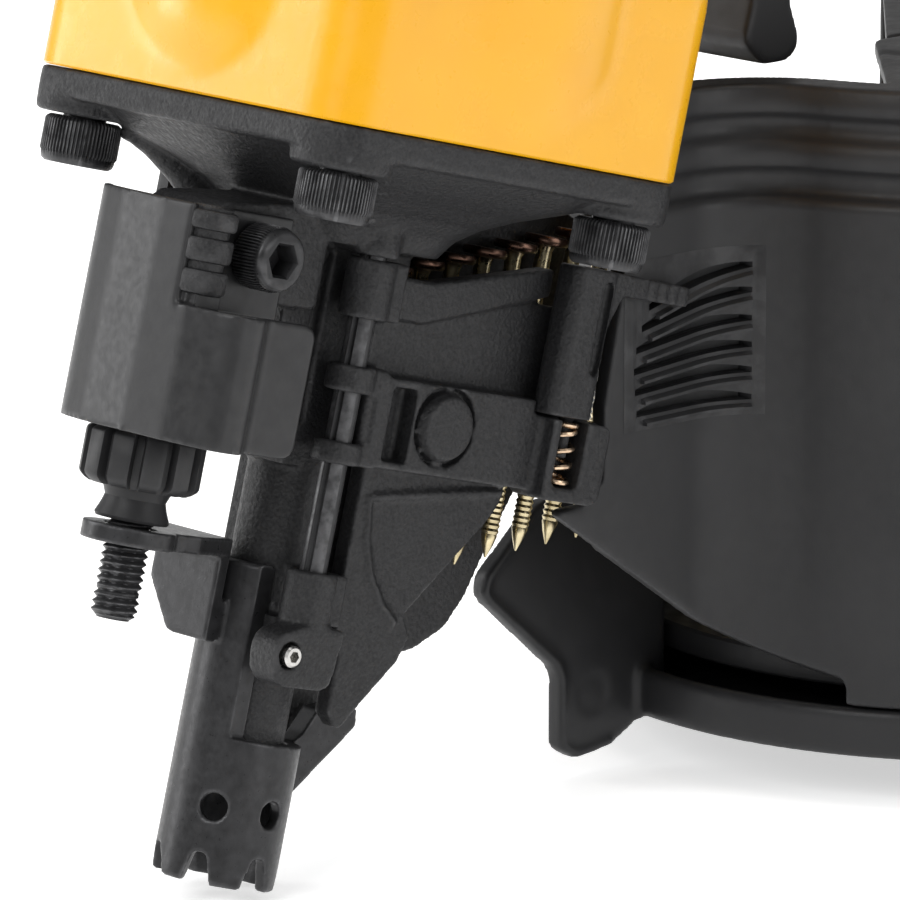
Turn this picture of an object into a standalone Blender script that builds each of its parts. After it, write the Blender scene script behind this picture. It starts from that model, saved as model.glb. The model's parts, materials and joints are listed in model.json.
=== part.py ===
"""Pneumatic coil nailer: driver unit, contact trip, feed door and nail canister.

Every size is in millimetres and each finished mesh is scaled to metres.
Two empties carry the parts:
  drive_frame  its +Z runs up the drive axis, which leans back by TILT
  stand_frame  upright, its +Z is the axis of the canister
Both have their origin at the centre of the contact foot's tip. +X points back to
the handle's end and -Y is the side of the feed door.
"""
import math

import bmesh
import bpy
from mathutils import Matrix, Vector

MM = 0.001
TILT = math.radians(15)
GAP = 0.3                      # clearance between neighbouring pieces

NOSE_X = -125.2                # contact foot's tip from the origin of the part
NOSE_Z = 2.07                  # height of the tip's centre above the ground
SOLE_Z = -NOSE_Z               # ground, seen from the two frames' origin

# drive axis stack, heights above the tip along the drive axis
NOZZLE_Z = 13.0
FLANGE_Z = 94.2
BODY_Z = 100.0
BODY_TOP_Z = 222.0
CAP_TOP_Z = 248.0
DEFLECTOR_TOP_Z = 266.0
PISTON_Z = 190.0
BLADE_Z = 88.0
BLADE_R = 2.0

BODY_HALF = 31.0               # half width of the square flange
BARREL_R = 33.5
BORE_R = 27.0
LINER_R = 24.6
PISTON_R = 20.2
DRIVE_BORE_R = 3.6
NOZZLE_R = 5.7
NOSE_BOLT = 24.3               # flange screws sit at plus and minus this
CAP_BOLT = 24.0
M6_HEAD_R = 5.0
M6_SHANK_R = 2.8
M6_HOLE_R = 3.2

FOOT_R = 8.0
FOOT_WALL = 1.9
STUD_X = -26.6
STUD_Y = -1.3
STUD_R = 3.0
WHEEL_R = 7.7

TRIP_X = (0.5, 8.0)            # the trip arm's strip runs past the barrel
TRIP_Y = (34.0, 36.0)
TRIP_SPRING = (4.3, 27.6)

SHIELD_X = -36.5
SHEET = 1.2

PIN_X = -2.5                   # feed door hinge
PIN_Y = -10.2
PIN_R = 1.75
KNUCKLE_R = 3.2
LATCH_X = 34.3
LATCH_Y = -12.8

NAIL_LENGTH = 43.0
NAIL_R = 1.15
NAIL_HEAD_R = 3.0
NAIL_PITCH = 5.5
NAIL_HEAD_Z = 78.8             # height of the nail heads beside the drive axis
CHANNEL_HALF = 3.6

CAN_X = 141.0
CAN_R = 57.0
CAN_WALL = 2.3
CAN_FLOOR_Z = 4.6
CAN_RIM_Z = 11.3               # top of the base's rim, just under the cover
CAN_OPEN_Z = 68.0              # top of the base's wall beside the driver unit
CHEEK_X = 58.8                 # front end of the cover's flat cheek
CHEEK_Y = -11.2
CHEEK_BEND = 14.0              # hollow curve from the cheek to the drum
CAN_TOP_Z = 95.0
ARM_PLATE_Z = CAN_TOP_Z + 4.0  # top of the arm's plate on the drum
ARM_SCREW = (168.0, 19.0)
POST_R = 4.2
COIL_R = 52.0
COIL_BORE_R = 40.0
PLATFORM_Z = 12.5
PLATFORM_R = 50.0
COVER_PIN_X = CAN_X + CAN_R + 5.0

HANDLE_Z = 166.0
HANDLE_END_X = 242.0
TRIGGER_X = 85.0
TRIGGER_Z = 141.5
VALVE_X = 104.0


# ---------------------------------------------------------------- mesh tools

def clear_scene():
    for obj in list(bpy.data.objects):
        bpy.data.objects.remove(obj, do_unlink=True)


def mesh_object(bm):
    """Turn a closed bmesh into an object whose faces point outward."""
    bmesh.ops.recalc_face_normals(bm, faces=bm.faces)
    mesh = bpy.data.meshes.new("solid")
    bm.to_mesh(mesh)
    bm.free()
    obj = bpy.data.objects.new("solid", mesh)
    bpy.context.collection.objects.link(obj)
    return obj


def loft(rings):
    """Solid through a stack of rings with equal point counts, capped at both ends."""
    bm = bmesh.new()
    loops = [[bm.verts.new(point) for point in ring] for ring in rings]
    for lower, upper in zip(loops, loops[1:]):
        for i, start in enumerate(lower):
            j = (i + 1) % len(lower)
            bm.faces.new((start, lower[j], upper[j], upper[i]))
    bm.faces.new(loops[0][::-1])
    bm.faces.new(loops[-1])
    return mesh_object(bm)


def circle(radius, sides, x=0.0, y=0.0):
    turn = 2 * math.pi / sides
    return [(x + radius * math.cos(turn * i), y + radius * math.sin(turn * i)) for i in range(sides)]


def rounded_rectangle(half_a, half_b, radius, steps=4):
    """Outline with round corners, as (a, b) points counter-clockwise."""
    points = []
    for quarter in range(4):
        centre_a = (half_a - radius) * (1 if quarter in (0, 3) else -1)
        centre_b = (half_b - radius) * (1 if quarter < 2 else -1)
        for i in range(steps + 1):
            angle = math.pi / 2 * (quarter + i / steps)
            points.append((centre_a + radius * math.cos(angle), centre_b + radius * math.sin(angle)))
    return points


def place(axis, a, b, depth):
    """Point of a flat outline that is drawn across the given axis."""
    if axis == "X":
        return (depth, a, b)
    if axis == "Y":
        return (a, depth, b)
    return (a, b, depth)


def prism(outline, low, high, axis="Z"):
    return loft([[place(axis, a, b, depth) for a, b in outline] for depth in (low, high)])


def box(x, y, z):
    outline = [(x[0], y[0]), (x[1], y[0]), (x[1], y[1]), (x[0], y[1])]
    return prism(outline, z[0], z[1])


def turned(profile, sides=20, centre=(0.0, 0.0), axis="Z"):
    """Solid of revolution from (radius, height) points, bottom to top."""
    rings = []
    for radius, height in profile:
        ring = circle(radius, sides, *centre)
        rings.append([place(axis, a, b, height) for a, b in ring])
    return loft(rings)


def pipe(radius, low, high, sides=20, centre=(0.0, 0.0), axis="Z"):
    return turned([(radius, low), (radius, high)], sides, centre, axis)


def hollow_turned(section, sides=24, centre=(0.0, 0.0), start=0.0, sweep=360.0):
    """Ring with the closed section given as (radius, height) points."""
    closed = sweep >= 360.0
    count = sides if closed else sides + 1
    rings = []
    for i in range(count):
        angle = math.radians(start + sweep * i / sides)
        rings.append([(centre[0] + r * math.cos(angle), centre[1] + r * math.sin(angle), z)
                      for r, z in section])
    if not closed:
        return loft(rings)
    bm = bmesh.new()
    loops = [[bm.verts.new(point) for point in ring] for ring in rings]
    for k, loop in enumerate(loops):
        after = loops[(k + 1) % count]
        for i, start_vert in enumerate(loop):
            j = (i + 1) % len(loop)
            bm.faces.new((start_vert, loop[j], after[j], after[i]))
    return mesh_object(bm)


def swept(points, radius, sides=4):
    """Round bar along a smooth list of points."""
    path = [Vector(p) for p in points]
    rings = []
    side = Vector((0, 0, 1))
    for i, point in enumerate(path):
        ahead = path[min(i + 1, len(path) - 1)] - path[max(i - 1, 0)]
        ahead.normalize()
        side = side - ahead * side.dot(ahead)
        if side.length < 0.1:
            side = ahead.orthogonal()
        side.normalize()
        other = ahead.cross(side)
        turn = 2 * math.pi / sides
        rings.append([point + (side * math.cos(turn * k) + other * math.sin(turn * k)) * radius
                      for k in range(sides)])
    return loft(rings)


def coil_points(x, y, low, high, radius, turns, per_turn=9):
    count = int(turns * per_turn)
    points = []
    for i in range(count + 1):
        angle = 2 * math.pi * i / per_turn
        height = low + (high - low) * i / count
        points.append((x + radius * math.cos(angle), y + radius * math.sin(angle), height))
    return points


def boolean(obj, tool, operation):
    """Apply one exact Boolean and remove the tool."""
    modifier = obj.modifiers.new("step", "BOOLEAN")
    modifier.operation = operation
    modifier.solver = "EXACT"
    modifier.object = tool
    graph = bpy.context.evaluated_depsgraph_get()
    result = bpy.data.meshes.new_from_object(obj.evaluated_get(graph))
    obj.modifiers.clear()
    obj.data = result
    bpy.data.objects.remove(tool, do_unlink=True)


def join(obj, *tools):
    for tool in tools:
        boolean(obj, tool, "UNION")
    return obj


def cut(obj, *tools):
    for tool in tools:
        boolean(obj, tool, "DIFFERENCE")
    return obj


def lean_to_drive(obj):
    """Take a solid drawn upright into the leaning frame."""
    obj.data.transform(Matrix.Rotation(-TILT, 4, "Y"))
    return obj


# ---------------------------------------------------------------- materials

def material(name, colour, roughness, metallic):
    found = bpy.data.materials.get(name)
    if found:
        return found
    made = bpy.data.materials.new(name)
    made.use_nodes = True
    shader = made.node_tree.nodes["Principled BSDF"]
    shader.inputs["Base Color"].default_value = (*colour, 1.0)
    shader.inputs["Roughness"].default_value = roughness
    shader.inputs["Metallic"].default_value = metallic
    return made


FINISHES = {
    "yellow_paint": ((0.95, 0.53, 0.0), 0.32, 0.0),
    "black_casting": ((0.03, 0.03, 0.032), 0.55, 0.3),
    "black_polymer": ((0.035, 0.035, 0.037), 0.45, 0.0),
    "black_sheet": ((0.05, 0.05, 0.05), 0.4, 0.5),
    "black_oxide": ((0.06, 0.06, 0.06), 0.35, 0.9),
    "bright_steel": ((0.62, 0.6, 0.57), 0.3, 1.0),
    "spring_steel": ((0.55, 0.42, 0.33), 0.3, 1.0),
    "zinc_nail": ((0.78, 0.68, 0.42), 0.32, 1.0),
    "aluminium": ((0.72, 0.73, 0.75), 0.35, 1.0),
    "rubber": ((0.02, 0.02, 0.02), 0.8, 0.0),
}


def finish(obj, name, frame, finish_name, origin=(0.0, 0.0, 0.0)):
    """Name the solid, scale it to metres and hang it on its frame."""
    obj.name = name
    obj.data.name = name
    obj.data.transform(Matrix.Translation(-Vector(origin)))
    obj.data.transform(Matrix.Scale(MM, 4))
    obj.data.materials.clear()
    obj.data.materials.append(material(finish_name, *FINISHES[finish_name]))
    obj.data.shade_smooth()
    obj.data.set_sharp_from_angle(angle=math.radians(32))
    obj.parent = frame
    obj.location = Vector(origin) * MM
    return obj


def corners(offset):
    return [(-offset, -offset), (offset, -offset), (offset, offset), (-offset, offset)]


# ---------------------------------------------------------------- driver unit

def square_section(half, radius, z):
    return [(a, b, z) for a, b in rounded_rectangle(half, half, radius)]


def handle_tube(grow, start_x, end_x):
    """Upright oval tube of the handle, grown by the given amount all round."""
    rings = []
    stations = 5
    for i in range(stations):
        share = i / (stations - 1)
        x = start_x + (end_x - start_x) * share
        swell = 2.0 * (2 * share - 1) ** 2
        outline = rounded_rectangle(15.0 + swell + grow, 18.0 + swell + grow, 13.0 + grow)
        rings.append([(x, y, HANDLE_Z + z) for y, z in outline])
    return lean_to_drive(loft(rings))


def body_housing(frame):
    levels = ((BODY_Z + GAP, BODY_HALF, 7.0), (108, BODY_HALF, 8.0), (124, 32.2, 18.0),
              (142, BARREL_R, BARREL_R - 0.5), (196, BARREL_R, BARREL_R - 0.5),
              (208, BARREL_R, 14.0), (BODY_TOP_Z, BARREL_R, 10.0))
    body = loft([square_section(half, radius, z) for z, half, radius in levels])
    join(body, handle_tube(0.0, 48.0, HANDLE_END_X))
    for side in (-1, 1):
        near, far = sorted((side * 8.0, side * 11.5))
        ear = prism(rounded_rectangle(8.0, 8.0, 4.0, 3), near, far, "Y")
        ear.data.transform(Matrix.Translation((TRIGGER_X, 0, TRIGGER_Z + 4.5)))
        join(body, lean_to_drive(ear))
    cut(body, pipe(BORE_R, 99, 223, 24))
    cut(body, handle_tube(-3.5, 52.0, HANDLE_END_X + 1))
    for x, y in corners(NOSE_BOLT):
        cut(body, pipe(M6_HOLE_R, 99, 116, 12, (x, y)))
    for x, y in corners(CAP_BOLT):
        cut(body, pipe(M6_HOLE_R, 206, 223, 12, (x, y)))
    cut(body, lean_to_drive(pipe(2.4, -13, 13, 12, (TRIGGER_X, TRIGGER_Z), "Y")))
    cut(body, lean_to_drive(pipe(6.4, 140, 156, 20, (VALVE_X, 0))))
    cut(body, lean_to_drive(pipe(M6_HOLE_R, 130, 153, 12, (215.0, 0))))
    finish(body, "body_housing", frame, "yellow_paint")


def handle_grip(frame):
    sleeve = handle_tube(2.6, 114.0, 196.0)
    cut(sleeve, handle_tube(GAP, 48.0, HANDLE_END_X))
    finish(sleeve, "handle_grip", frame, "rubber")


def top_cap(frame):
    low = BODY_TOP_Z + GAP
    levels = ((low, BARREL_R, 10.0), (236, BARREL_R, 12.0), (243, 30.0, 20.0), (CAP_TOP_Z, 24.0, 23.5))
    cap = loft([square_section(half, radius, z) for z, half, radius in levels])
    cut(cap, pipe(24.5, low - 1, 238, 24))
    cut(cap, pipe(2.7, 230, 250, 12))
    for angle in (45, 135, 225, 315):
        centre = (12.5 * math.cos(math.radians(angle)), 12.5 * math.sin(math.radians(angle)))
        cut(cap, pipe(3.6, 230, 250, 12, centre))
    for x, y in corners(CAP_BOLT):
        cut(cap, pipe(M6_HOLE_R, low - 1, 250, 12, (x, y)))
        cut(cap, pipe(M6_HEAD_R + GAP, 237, 250, 18, (x, y)))
    finish(cap, "top_cap", frame, "black_casting")


def socket_screw(x, y, seat, shank_end, head_height=6.0, up=False):
    """Socket head cap screw along Z, its head on the far side of the seat."""
    direction = 1 if up else -1
    crown = seat + direction * head_height
    low, high = sorted((seat, crown))
    screw = pipe(M6_HEAD_R, low, high, 14, (x, y))
    join(screw, pipe(M6_SHANK_R, *sorted((shank_end, seat + direction)), 8, (x, y)))
    cut(screw, pipe(2.9, *sorted((crown - direction * 3.0, crown + direction)), 6, (x, y)))
    return screw


def flange_screws(frame):
    """Four screws from below hold the nose and four from above hold the cap."""
    names = ("front_left", "rear_left", "rear_right", "front_right")
    for name, (x, y) in zip(names, corners(NOSE_BOLT)):
        finish(socket_screw(x, y, FLANGE_Z - GAP, 114), f"nose_screw_{name}", frame, "black_oxide")
    for name, (x, y) in zip(names, corners(CAP_BOLT)):
        screw = socket_screw(x, y, 237 + GAP, 208, 5.5, True)
        finish(screw, f"cap_screw_{name}", frame, "black_oxide")


def exhaust_deflector(frame):
    low = CAP_TOP_Z + GAP
    hood = turned([(21, low), (21, 260), (19, 264), (14, DEFLECTOR_TOP_Z)], 24)
    cavity = hollow_turned([(5.5, low - 1), (18, low - 1), (18, 261), (5.5, 261)], 22)
    cut(hood, cavity)
    cut(hood, box((-24, -10), (-11, 11), (low + 1.7, 259)))
    cut(hood, pipe(2.9, low - 1, 268, 12))
    finish(hood, "exhaust_deflector", frame, "black_polymer")


def deflector_screw(frame):
    low = DEFLECTOR_TOP_Z + GAP
    screw = turned([(2.3, 242), (2.3, low), (4.6, low), (4.6, low + 2.6), (3.2, low + 3.6)], 16)
    cut(screw, pipe(1.9, low + 1.6, low + 5, 6))
    finish(screw, "deflector_screw", frame, "bright_steel")


def cylinder_liner(frame):
    section = [(20.6, 102), (26.7, 102), (26.7, 108), (LINER_R, 108), (LINER_R, 213), (20.6, 213)]
    finish(hollow_turned(section), "cylinder_liner", frame, "aluminium")


def bumper(frame):
    section = [(6, 100.4), (PISTON_R, 100.4), (PISTON_R, 112), (15, 118), (6, 118)]
    finish(hollow_turned(section), "bumper", frame, "rubber")


def piston_driver(frame):
    profile = [(BLADE_R, BLADE_Z), (BLADE_R, PISTON_Z - 6), (7, PISTON_Z), (PISTON_R, PISTON_Z),
               (PISTON_R, 196.5), (18.2, 196.5), (18.2, 199.5), (PISTON_R, 199.5), (PISTON_R, 206)]
    finish(turned(profile, 24), "piston_driver", frame, "bright_steel")


def piston_ring(frame):
    section = [(18.5, 196.9), (20.45, 196.9), (20.45, 199.1), (18.5, 199.1)]
    finish(hollow_turned(section), "piston_ring", frame, "rubber")


def head_valve(frame):
    section = [(7, 213.4), (23.8, 213.4), (23.8, 226), (18.5, 226), (18.5, 217), (7, 217)]
    finish(hollow_turned(section), "head_valve", frame, "black_polymer")


def head_valve_spring(frame):
    spring = swept(coil_points(0, 0, 218.6, 236.4, 15.0, 4, 12), 1.1)
    finish(spring, "head_valve_spring", frame, "spring_steel")


def handle_end(frame):
    outline = rounded_rectangle(17.0, 20.0, 13.0)
    cover = prism(outline, HANDLE_END_X + GAP, HANDLE_END_X + 8, "X")
    cover.data.transform(Matrix.Translation((0, 0, HANDLE_Z)))
    cut(cover, pipe(6.6, HANDLE_END_X - 1, HANDLE_END_X + 9, 24, (0, HANDLE_Z), "X"))
    finish(cover, "handle_end_cap", frame, "black_casting")


def air_plug(frame):
    start = HANDLE_END_X - 6
    face = HANDLE_END_X + 8 + GAP
    profile = [(6.2, start), (6.2, face), (8.6, face), (8.6, face + 6), (5.2, face + 6), (5.2, face + 14),
               (6.4, face + 16), (6.4, face + 19), (5.4, face + 21)]
    plug = turned(profile, 24, (0, HANDLE_Z), "X")
    cut(plug, pipe(3.0, start - 1, face + 22, 16, (0, HANDLE_Z), "X"))
    finish(plug, "air_plug", frame, "bright_steel")


# ---------------------------------------------------------------- trigger

def trigger(frame):
    outline = [(81, 145), (88.5, 145.5), (91, 141), (109, 141), (112, 138), (108, 133), (102, 129),
               (99.5, 120), (99.8, 108), (101.5, 99), (99, 96), (94, 96.5), (89.5, 110), (85, 125),
               (80.5, 138)]
    lever = prism(outline, -7, 7, "Y")
    cut(lever, pipe(2.3, -8, 8, 12, (TRIGGER_X, TRIGGER_Z), "Y"))
    finish(lever, "trigger", frame, "black_polymer", (TRIGGER_X, 0, TRIGGER_Z))


def trigger_pin(frame):
    pin = pipe(2.0, -11.8, 11.8, 12, (TRIGGER_X, TRIGGER_Z), "Y")
    finish(pin, "trigger_pin", frame, "bright_steel")


def trigger_valve(frame):
    section = [(2.4, 148.2), (6.0, 148.2), (6.0, 163), (2.4, 163)]
    finish(hollow_turned(section, 20, (VALVE_X, 0)), "trigger_valve", frame, "black_polymer")


def valve_stem(frame):
    finish(pipe(2.0, 141.3, 158, 12, (VALVE_X, 0)), "valve_stem", frame, "bright_steel")


# ---------------------------------------------------------------- nose

def nose_base(frame):
    nose = loft([square_section(BODY_HALF, 7.0, z) for z in (FLANGE_Z, BODY_Z - GAP)])
    join(nose, loft([square_section(half, radius, z) for z, half, radius in
                     ((85, 11.0, 7.0), (FLANGE_Z + 1, 24.0, 12.0))]))
    join(nose, box((-11.5, 9), (-5.3, 8), (57, 90)))
    join(nose, box((-29, -9), (-8.6, 5), (74.5, FLANGE_Z + 2)))
    join(nose, pipe(NOZZLE_R, NOZZLE_Z, 58, 24))
    join(nose, box((-2.2, 8.8), (-5.1, 7.8), (32.5, 58)))
    wing = [(5, 92), (46, 92), (46, 60), (41, 47), (38.7, 40.2), (36, 35.5), (31.1, 32.2), (26.7, 30.8),
            (21.2, 24.9), (13.5, 18), (10.3, 18), (10.3, 33), (5, 33)]
    join(nose, prism(wing, CHANNEL_HALF + 0.1, 8.5, "Y"))
    join(nose, pipe(KNUCKLE_R, 82.7, 87, 16, (PIN_X, PIN_Y)))
    join(nose, box((PIN_X - 3, PIN_X + 3), (PIN_Y, -4), (82.9, 89)))
    join(nose, pipe(KNUCKLE_R, 35, 42, 16, (PIN_X, PIN_Y)))
    join(nose, box((-2.4, 4), (PIN_Y, -4), (35.2, 41.8)))
    join(nose, box((-9.2, 2), (-13.6, -8.5), (27.2, 35.5)))
    cut(nose, pipe(DRIVE_BORE_R, NOZZLE_Z - 1, BODY_Z + 1, 20))
    cut(nose, box((0.6, 60), (0.1 - CHANNEL_HALF, CHANNEL_HALF - 0.1), (33.5, 90.5)))
    cut(nose, pipe(PIN_R + 0.25, 24, 88, 14, (PIN_X, PIN_Y)))
    cut(nose, pipe(1.75, -15, -8, 10, (-6.7, 31.2), "Y"))
    cut(nose, pipe(2.6, -9.5, 0, 12, (-23, 80.3), "Y"))
    cut(nose, box((7.4, 20), (2, 9), (57.5, 66.5)))
    for x, y in corners(NOSE_BOLT):
        cut(nose, pipe(M6_HOLE_R, FLANGE_Z - 1, BODY_Z + 1, 12, (x, y)))
    finish(nose, "nose_base", frame, "black_casting")


def contact_foot(frame):
    inner = FOOT_R - FOOT_WALL
    foot = hollow_turned([(inner, 0), (FOOT_R, 0), (FOOT_R, 41.4), (inner, 41.4)], 28)
    cut(foot, box((-3.2, 9), (-9, 9), (19, 43)), box((-9, 9), (-9, -4.8), (19, 43)))
    for angle in (0, 60, 120):
        notch = prism([(-2.2, -1), (2.2, -1), (1.0, 3.4), (-1.0, 3.4)], -10, 10, "Y")
        notch.data.transform(Matrix.Rotation(math.radians(angle), 4, "Z"))
        cut(foot, notch)
    for angle in (215, 275):
        hole = pipe(1.8, 4, 10, 12, (0, 0), "X")
        hole.data.transform(Matrix.Rotation(math.radians(angle), 4, "Z") @ Matrix.Translation((0, 0, 10)))
        cut(foot, hole)
    hook = [(7.3, 10), (18.4, 21.8), (18.2, 24.1), (16.2, 24.8), (11.4, 23.6), (9.3, 20), (7.3, 18.5)]
    join(foot, prism(hook, -1.6, 1.6, "Y"))
    join(foot, box((-9.5, -6.6), (-1.5, 6), (31, 36)))
    join(foot, box((-10.6, -8.8), (-1.5, 11), (30.6, 43.9)))
    tongue = [(-26.6, -5.5), (-17, -4.5), (-8.8, -1.5), (-8.8, 11), (-17, 8), (-26.6, 4.2)]
    join(foot, prism(tongue, 41.6, 43.9))
    join(foot, pipe(6.0, 41.6, 43.9, 20, (STUD_X, STUD_Y)))
    cut(foot, pipe(STUD_R + 0.3, 40, 45, 16, (STUD_X, STUD_Y)))
    finish(foot, "contact_foot", frame, "black_oxide")


def wheel_outline(radius):
    """Grip outline with eleven lobes."""
    points = []
    for i in range(44):
        angle = 2 * math.pi * i / 44
        reach = radius if i % 4 in (0, 1) else radius - 0.7
        points.append((STUD_X + reach * math.cos(angle), STUD_Y + reach * math.sin(angle)))
    return points


def depth_wheel(frame):
    wheel = prism(wheel_outline(WHEEL_R), 47, 54.6)
    centre = (STUD_X, STUD_Y)
    join(wheel, pipe(4.2, 44.3, 48, 20, centre), pipe(STUD_R, 32, 46, 16, centre))
    join(wheel, pipe(STUD_R, 54, 60, 16, centre))
    finish(wheel, "depth_wheel", frame, "black_polymer", (STUD_X, STUD_Y, 0))


def wheel_clip(frame):
    section = [(3.3, 57.4), (5.2, 57.4), (5.2, 58.4), (3.3, 58.4)]
    ring = hollow_turned(section, 16, (STUD_X, STUD_Y))
    finish(ring, "wheel_clip", frame, "bright_steel", (STUD_X, STUD_Y, 0))


def trip_arm(frame):
    """Strip from the stud round the nose and up the far side of the barrel to the trigger."""
    left, right = TRIP_X
    near, far = TRIP_Y
    root = [(-31, -6), (-21.5, -6), (-21.5, 9.5), (right, 9.5), (right, 13), (-25, 13), (-31, 5)]
    arm = prism(root, 55, 57)
    join(arm, box(TRIP_X, (10, 12), (56, 69)))
    join(arm, box(TRIP_X, (10, far), (67, 69)))
    strip = [(left, 67), (right, 67), (right, 126), (50, 132), (50, 137), (left, 132)]
    join(arm, prism(strip, near, far, "Y"))
    join(arm, box((42, 50), (8.3, near + 1), (132.7, 135)))
    cut(arm, pipe(STUD_R + 0.3, 54, 58, 16, (STUD_X, STUD_Y)))
    finish(arm, "trip_arm", frame, "black_sheet")


def trip_spring(frame):
    spring = swept(coil_points(*TRIP_SPRING, 70.0, 93.0, 3.0, 6), 0.6)
    finish(spring, "trip_spring", frame, "spring_steel")


def sheet_strip(path, z):
    """Bent sheet that follows a flat path, SHEET thick to the path's left."""
    inner = []
    count = len(path)
    for i, point in enumerate(path):
        before = Vector(path[max(i - 1, 0)])
        after = Vector(path[min(i + 1, count - 1)])
        here = Vector(point)
        first = (here - before).normalized() if i else (after - here).normalized()
        second = (after - here).normalized() if i < count - 1 else first
        normal = (Vector((-first.y, first.x)) + Vector((-second.y, second.x))).normalized()
        reach = SHEET / max(0.3, normal.dot(Vector((-first.y, first.x))))
        inner.append(tuple(here + normal * reach))
    return prism(list(path) + inner[::-1], z[0], z[1])


def shield(frame):
    front = [(-32.5, 9.5), (SHIELD_X, 4.5), (SHIELD_X, -19.5)]
    wrap = front + [(-34, -22.4), (-29, -22.4), (-26, -18.2), (-17, -18.2)]
    guard = sheet_strip(wrap, (56, 73))
    join(guard, sheet_strip([front[0], front[1], (SHIELD_X, -12.5)], (72, 85.5)))
    join(guard, box((SHIELD_X + 0.3, -17), (-10.3, -9.0), (74.6, 85.5)))
    join(guard, box((SHIELD_X + 0.2, -32.8), (-12, -9.2), (74.8, 85.3)))
    for low, high, radius in ((74.4, 85.6, 2.6), (76.2, 78.2, 3.3), (79.4, 81.4, 3.3), (82.4, 84.4, 3.3)):
        join(guard, pipe(radius, low, high, 12, (-32.8, -12.0)))
    cut(guard, pipe(2.8, -11, -8, 12, (-23, 80.3), "Y"))
    finish(guard, "shield", frame, "black_sheet")


def shield_screw(frame):
    centre = (-23, 80.3)
    screw = pipe(4.2, -16, -10.6, 20, centre, "Y")
    join(screw, pipe(2.2, -11, -1, 12, centre, "Y"))
    cut(screw, pipe(2.3, -17, -13, 6, centre, "Y"))
    finish(screw, "shield_screw", frame, "black_oxide")


def pin_set_screw(frame):
    screw = pipe(1.4, -14.4, -9.5, 10, (-6.7, 31.2), "Y")
    finish(screw, "pin_set_screw", frame, "bright_steel")


# ---------------------------------------------------------------- feed door

def hinge_pin(frame):
    finish(pipe(PIN_R, 27.6, 86.6, 16, (PIN_X, PIN_Y)), "hinge_pin", frame, "black_oxide")


def feed_door(frame):
    """Plate beside the nails, with a skirt below, two bands across it and three knuckles."""
    door = box((1, 41), (-12.4, -8.5), (56.2, 67.9))
    join(door, box((30.5, 41), (-15, -8.5), (55.4, 66.0)))
    join(door, box((1.2, 41), (-8.8, -6.0), (57, 80)))
    skirt = [(4.4, 58), (4.4, 36.2), (6.2, 31.5), (6.2, 24), (8.5, 21.8), (11.8, 26), (16.5, 31.5), (17.9, 35),
             (16.2, 37.8), (28.1, 51.6), (29.5, 54), (29.5, 58)]
    join(door, prism(skirt, -8.8, -6.0, "Y"))
    rail = [(1.5, 75.2), (9, 75.2), (30.5, 81.2), (30.5, 84.9), (10, 80.6), (1.5, 80.6)]
    join(door, prism(rail, -9.6, -6.6, "Y"))
    for low, high in ((56, 58.9), (65.2, 68.7), (74.7, 82.3)):
        join(door, pipe(KNUCKLE_R, low, high, 16, (PIN_X, PIN_Y)))
        join(door, box((PIN_X, 2.4), (-12.2, -8.7), (low, high)))
        cut(door, pipe(PIN_R + 0.25, low - 1, high + 1, 14, (PIN_X, PIN_Y)))
    join(door, pipe(4.2, -13.5, -12, 24, (13.6, 62.6), "Y"))
    cut(door, box((3.6, 7.9), (-14, -9.4), (57.2, 66.8)))
    cut(door, box((31.9, 36.7), (-16, -10.4), (57.2, 67)), box((29, 42), (-16, -9.9), (66.1, 69)))
    finish(door, "feed_door", frame, "black_casting", (PIN_X, PIN_Y, 0))


def door_latch(frame):
    post = prism(rounded_rectangle(3.9, 2.6, 2.0, 3), 66.4, 86)
    post.data.transform(Matrix.Translation((33.2, -12.8, 0)))
    tab = [(31.5, 86), (35, 86), (51, 85.6), (51, 83), (39, 83), (36, 76), (31.5, 76)]
    join(post, prism(tab, -14.4, -11.6, "Y"))
    join(post, pipe(0.9, 61, 67, 8, (LATCH_X, LATCH_Y)))
    finish(post, "door_latch", frame, "black_casting")


def latch_spring(frame):
    spring = swept(coil_points(LATCH_X, LATCH_Y, 57.9, 65.4, 1.55, 5), 0.3)
    finish(spring, "latch_spring", frame, "spring_steel")


def feed_cylinder(frame):
    barrel = pipe(6.4, 20, 46, 24, (15.5, 62), "X")
    join(barrel, box((26, 40), (8.8, 12), (53, 71)))
    cut(barrel, pipe(4.6, 19, 43, 20, (15.5, 62), "X"))
    finish(barrel, "feed_cylinder", frame, "black_casting")


def feed_piston(frame):
    piston = pipe(4.3, 24, 33, 20, (15.5, 62), "X")
    join(piston, pipe(2.0, 9, 25, 12, (15.5, 62), "X"))
    join(piston, box((8.6, 12), (1.9, 17), (59, 65)))
    finish(piston, "feed_piston", frame, "bright_steel")


# ---------------------------------------------------------------- nails

def nail(x):
    """One nail, leaning with the drive axis and set back from it by x."""
    profile = [(0.35, NAIL_HEAD_Z - NAIL_LENGTH), (NAIL_R, NAIL_HEAD_Z - NAIL_LENGTH + 3),
               (NAIL_R, NAIL_HEAD_Z - 1.2), (NAIL_HEAD_R, NAIL_HEAD_Z - 1.0), (NAIL_HEAD_R, NAIL_HEAD_Z)]
    shank = turned(profile, 6)
    shift = Matrix.Translation((x, 0, 0)) @ Matrix.Rotation(TILT, 4, "Y")
    shank.data.transform(shift)
    return shank


def nail_strip(frame):
    """The nails beside the drive axis, on their two wires."""
    places = [NAIL_PITCH * i for i in range(1, 12)]
    strip = nail(places[0])
    for x in places[1:]:
        join(strip, nail(x))
    for height in (50.0, 66.0):
        lean = height * math.tan(TILT)
        wire = [(x + lean, 0.15, height) for x in places]
        join(strip, swept(wire, 0.4))
    finish(strip, "nail_strip", frame, "zinc_nail")


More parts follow.
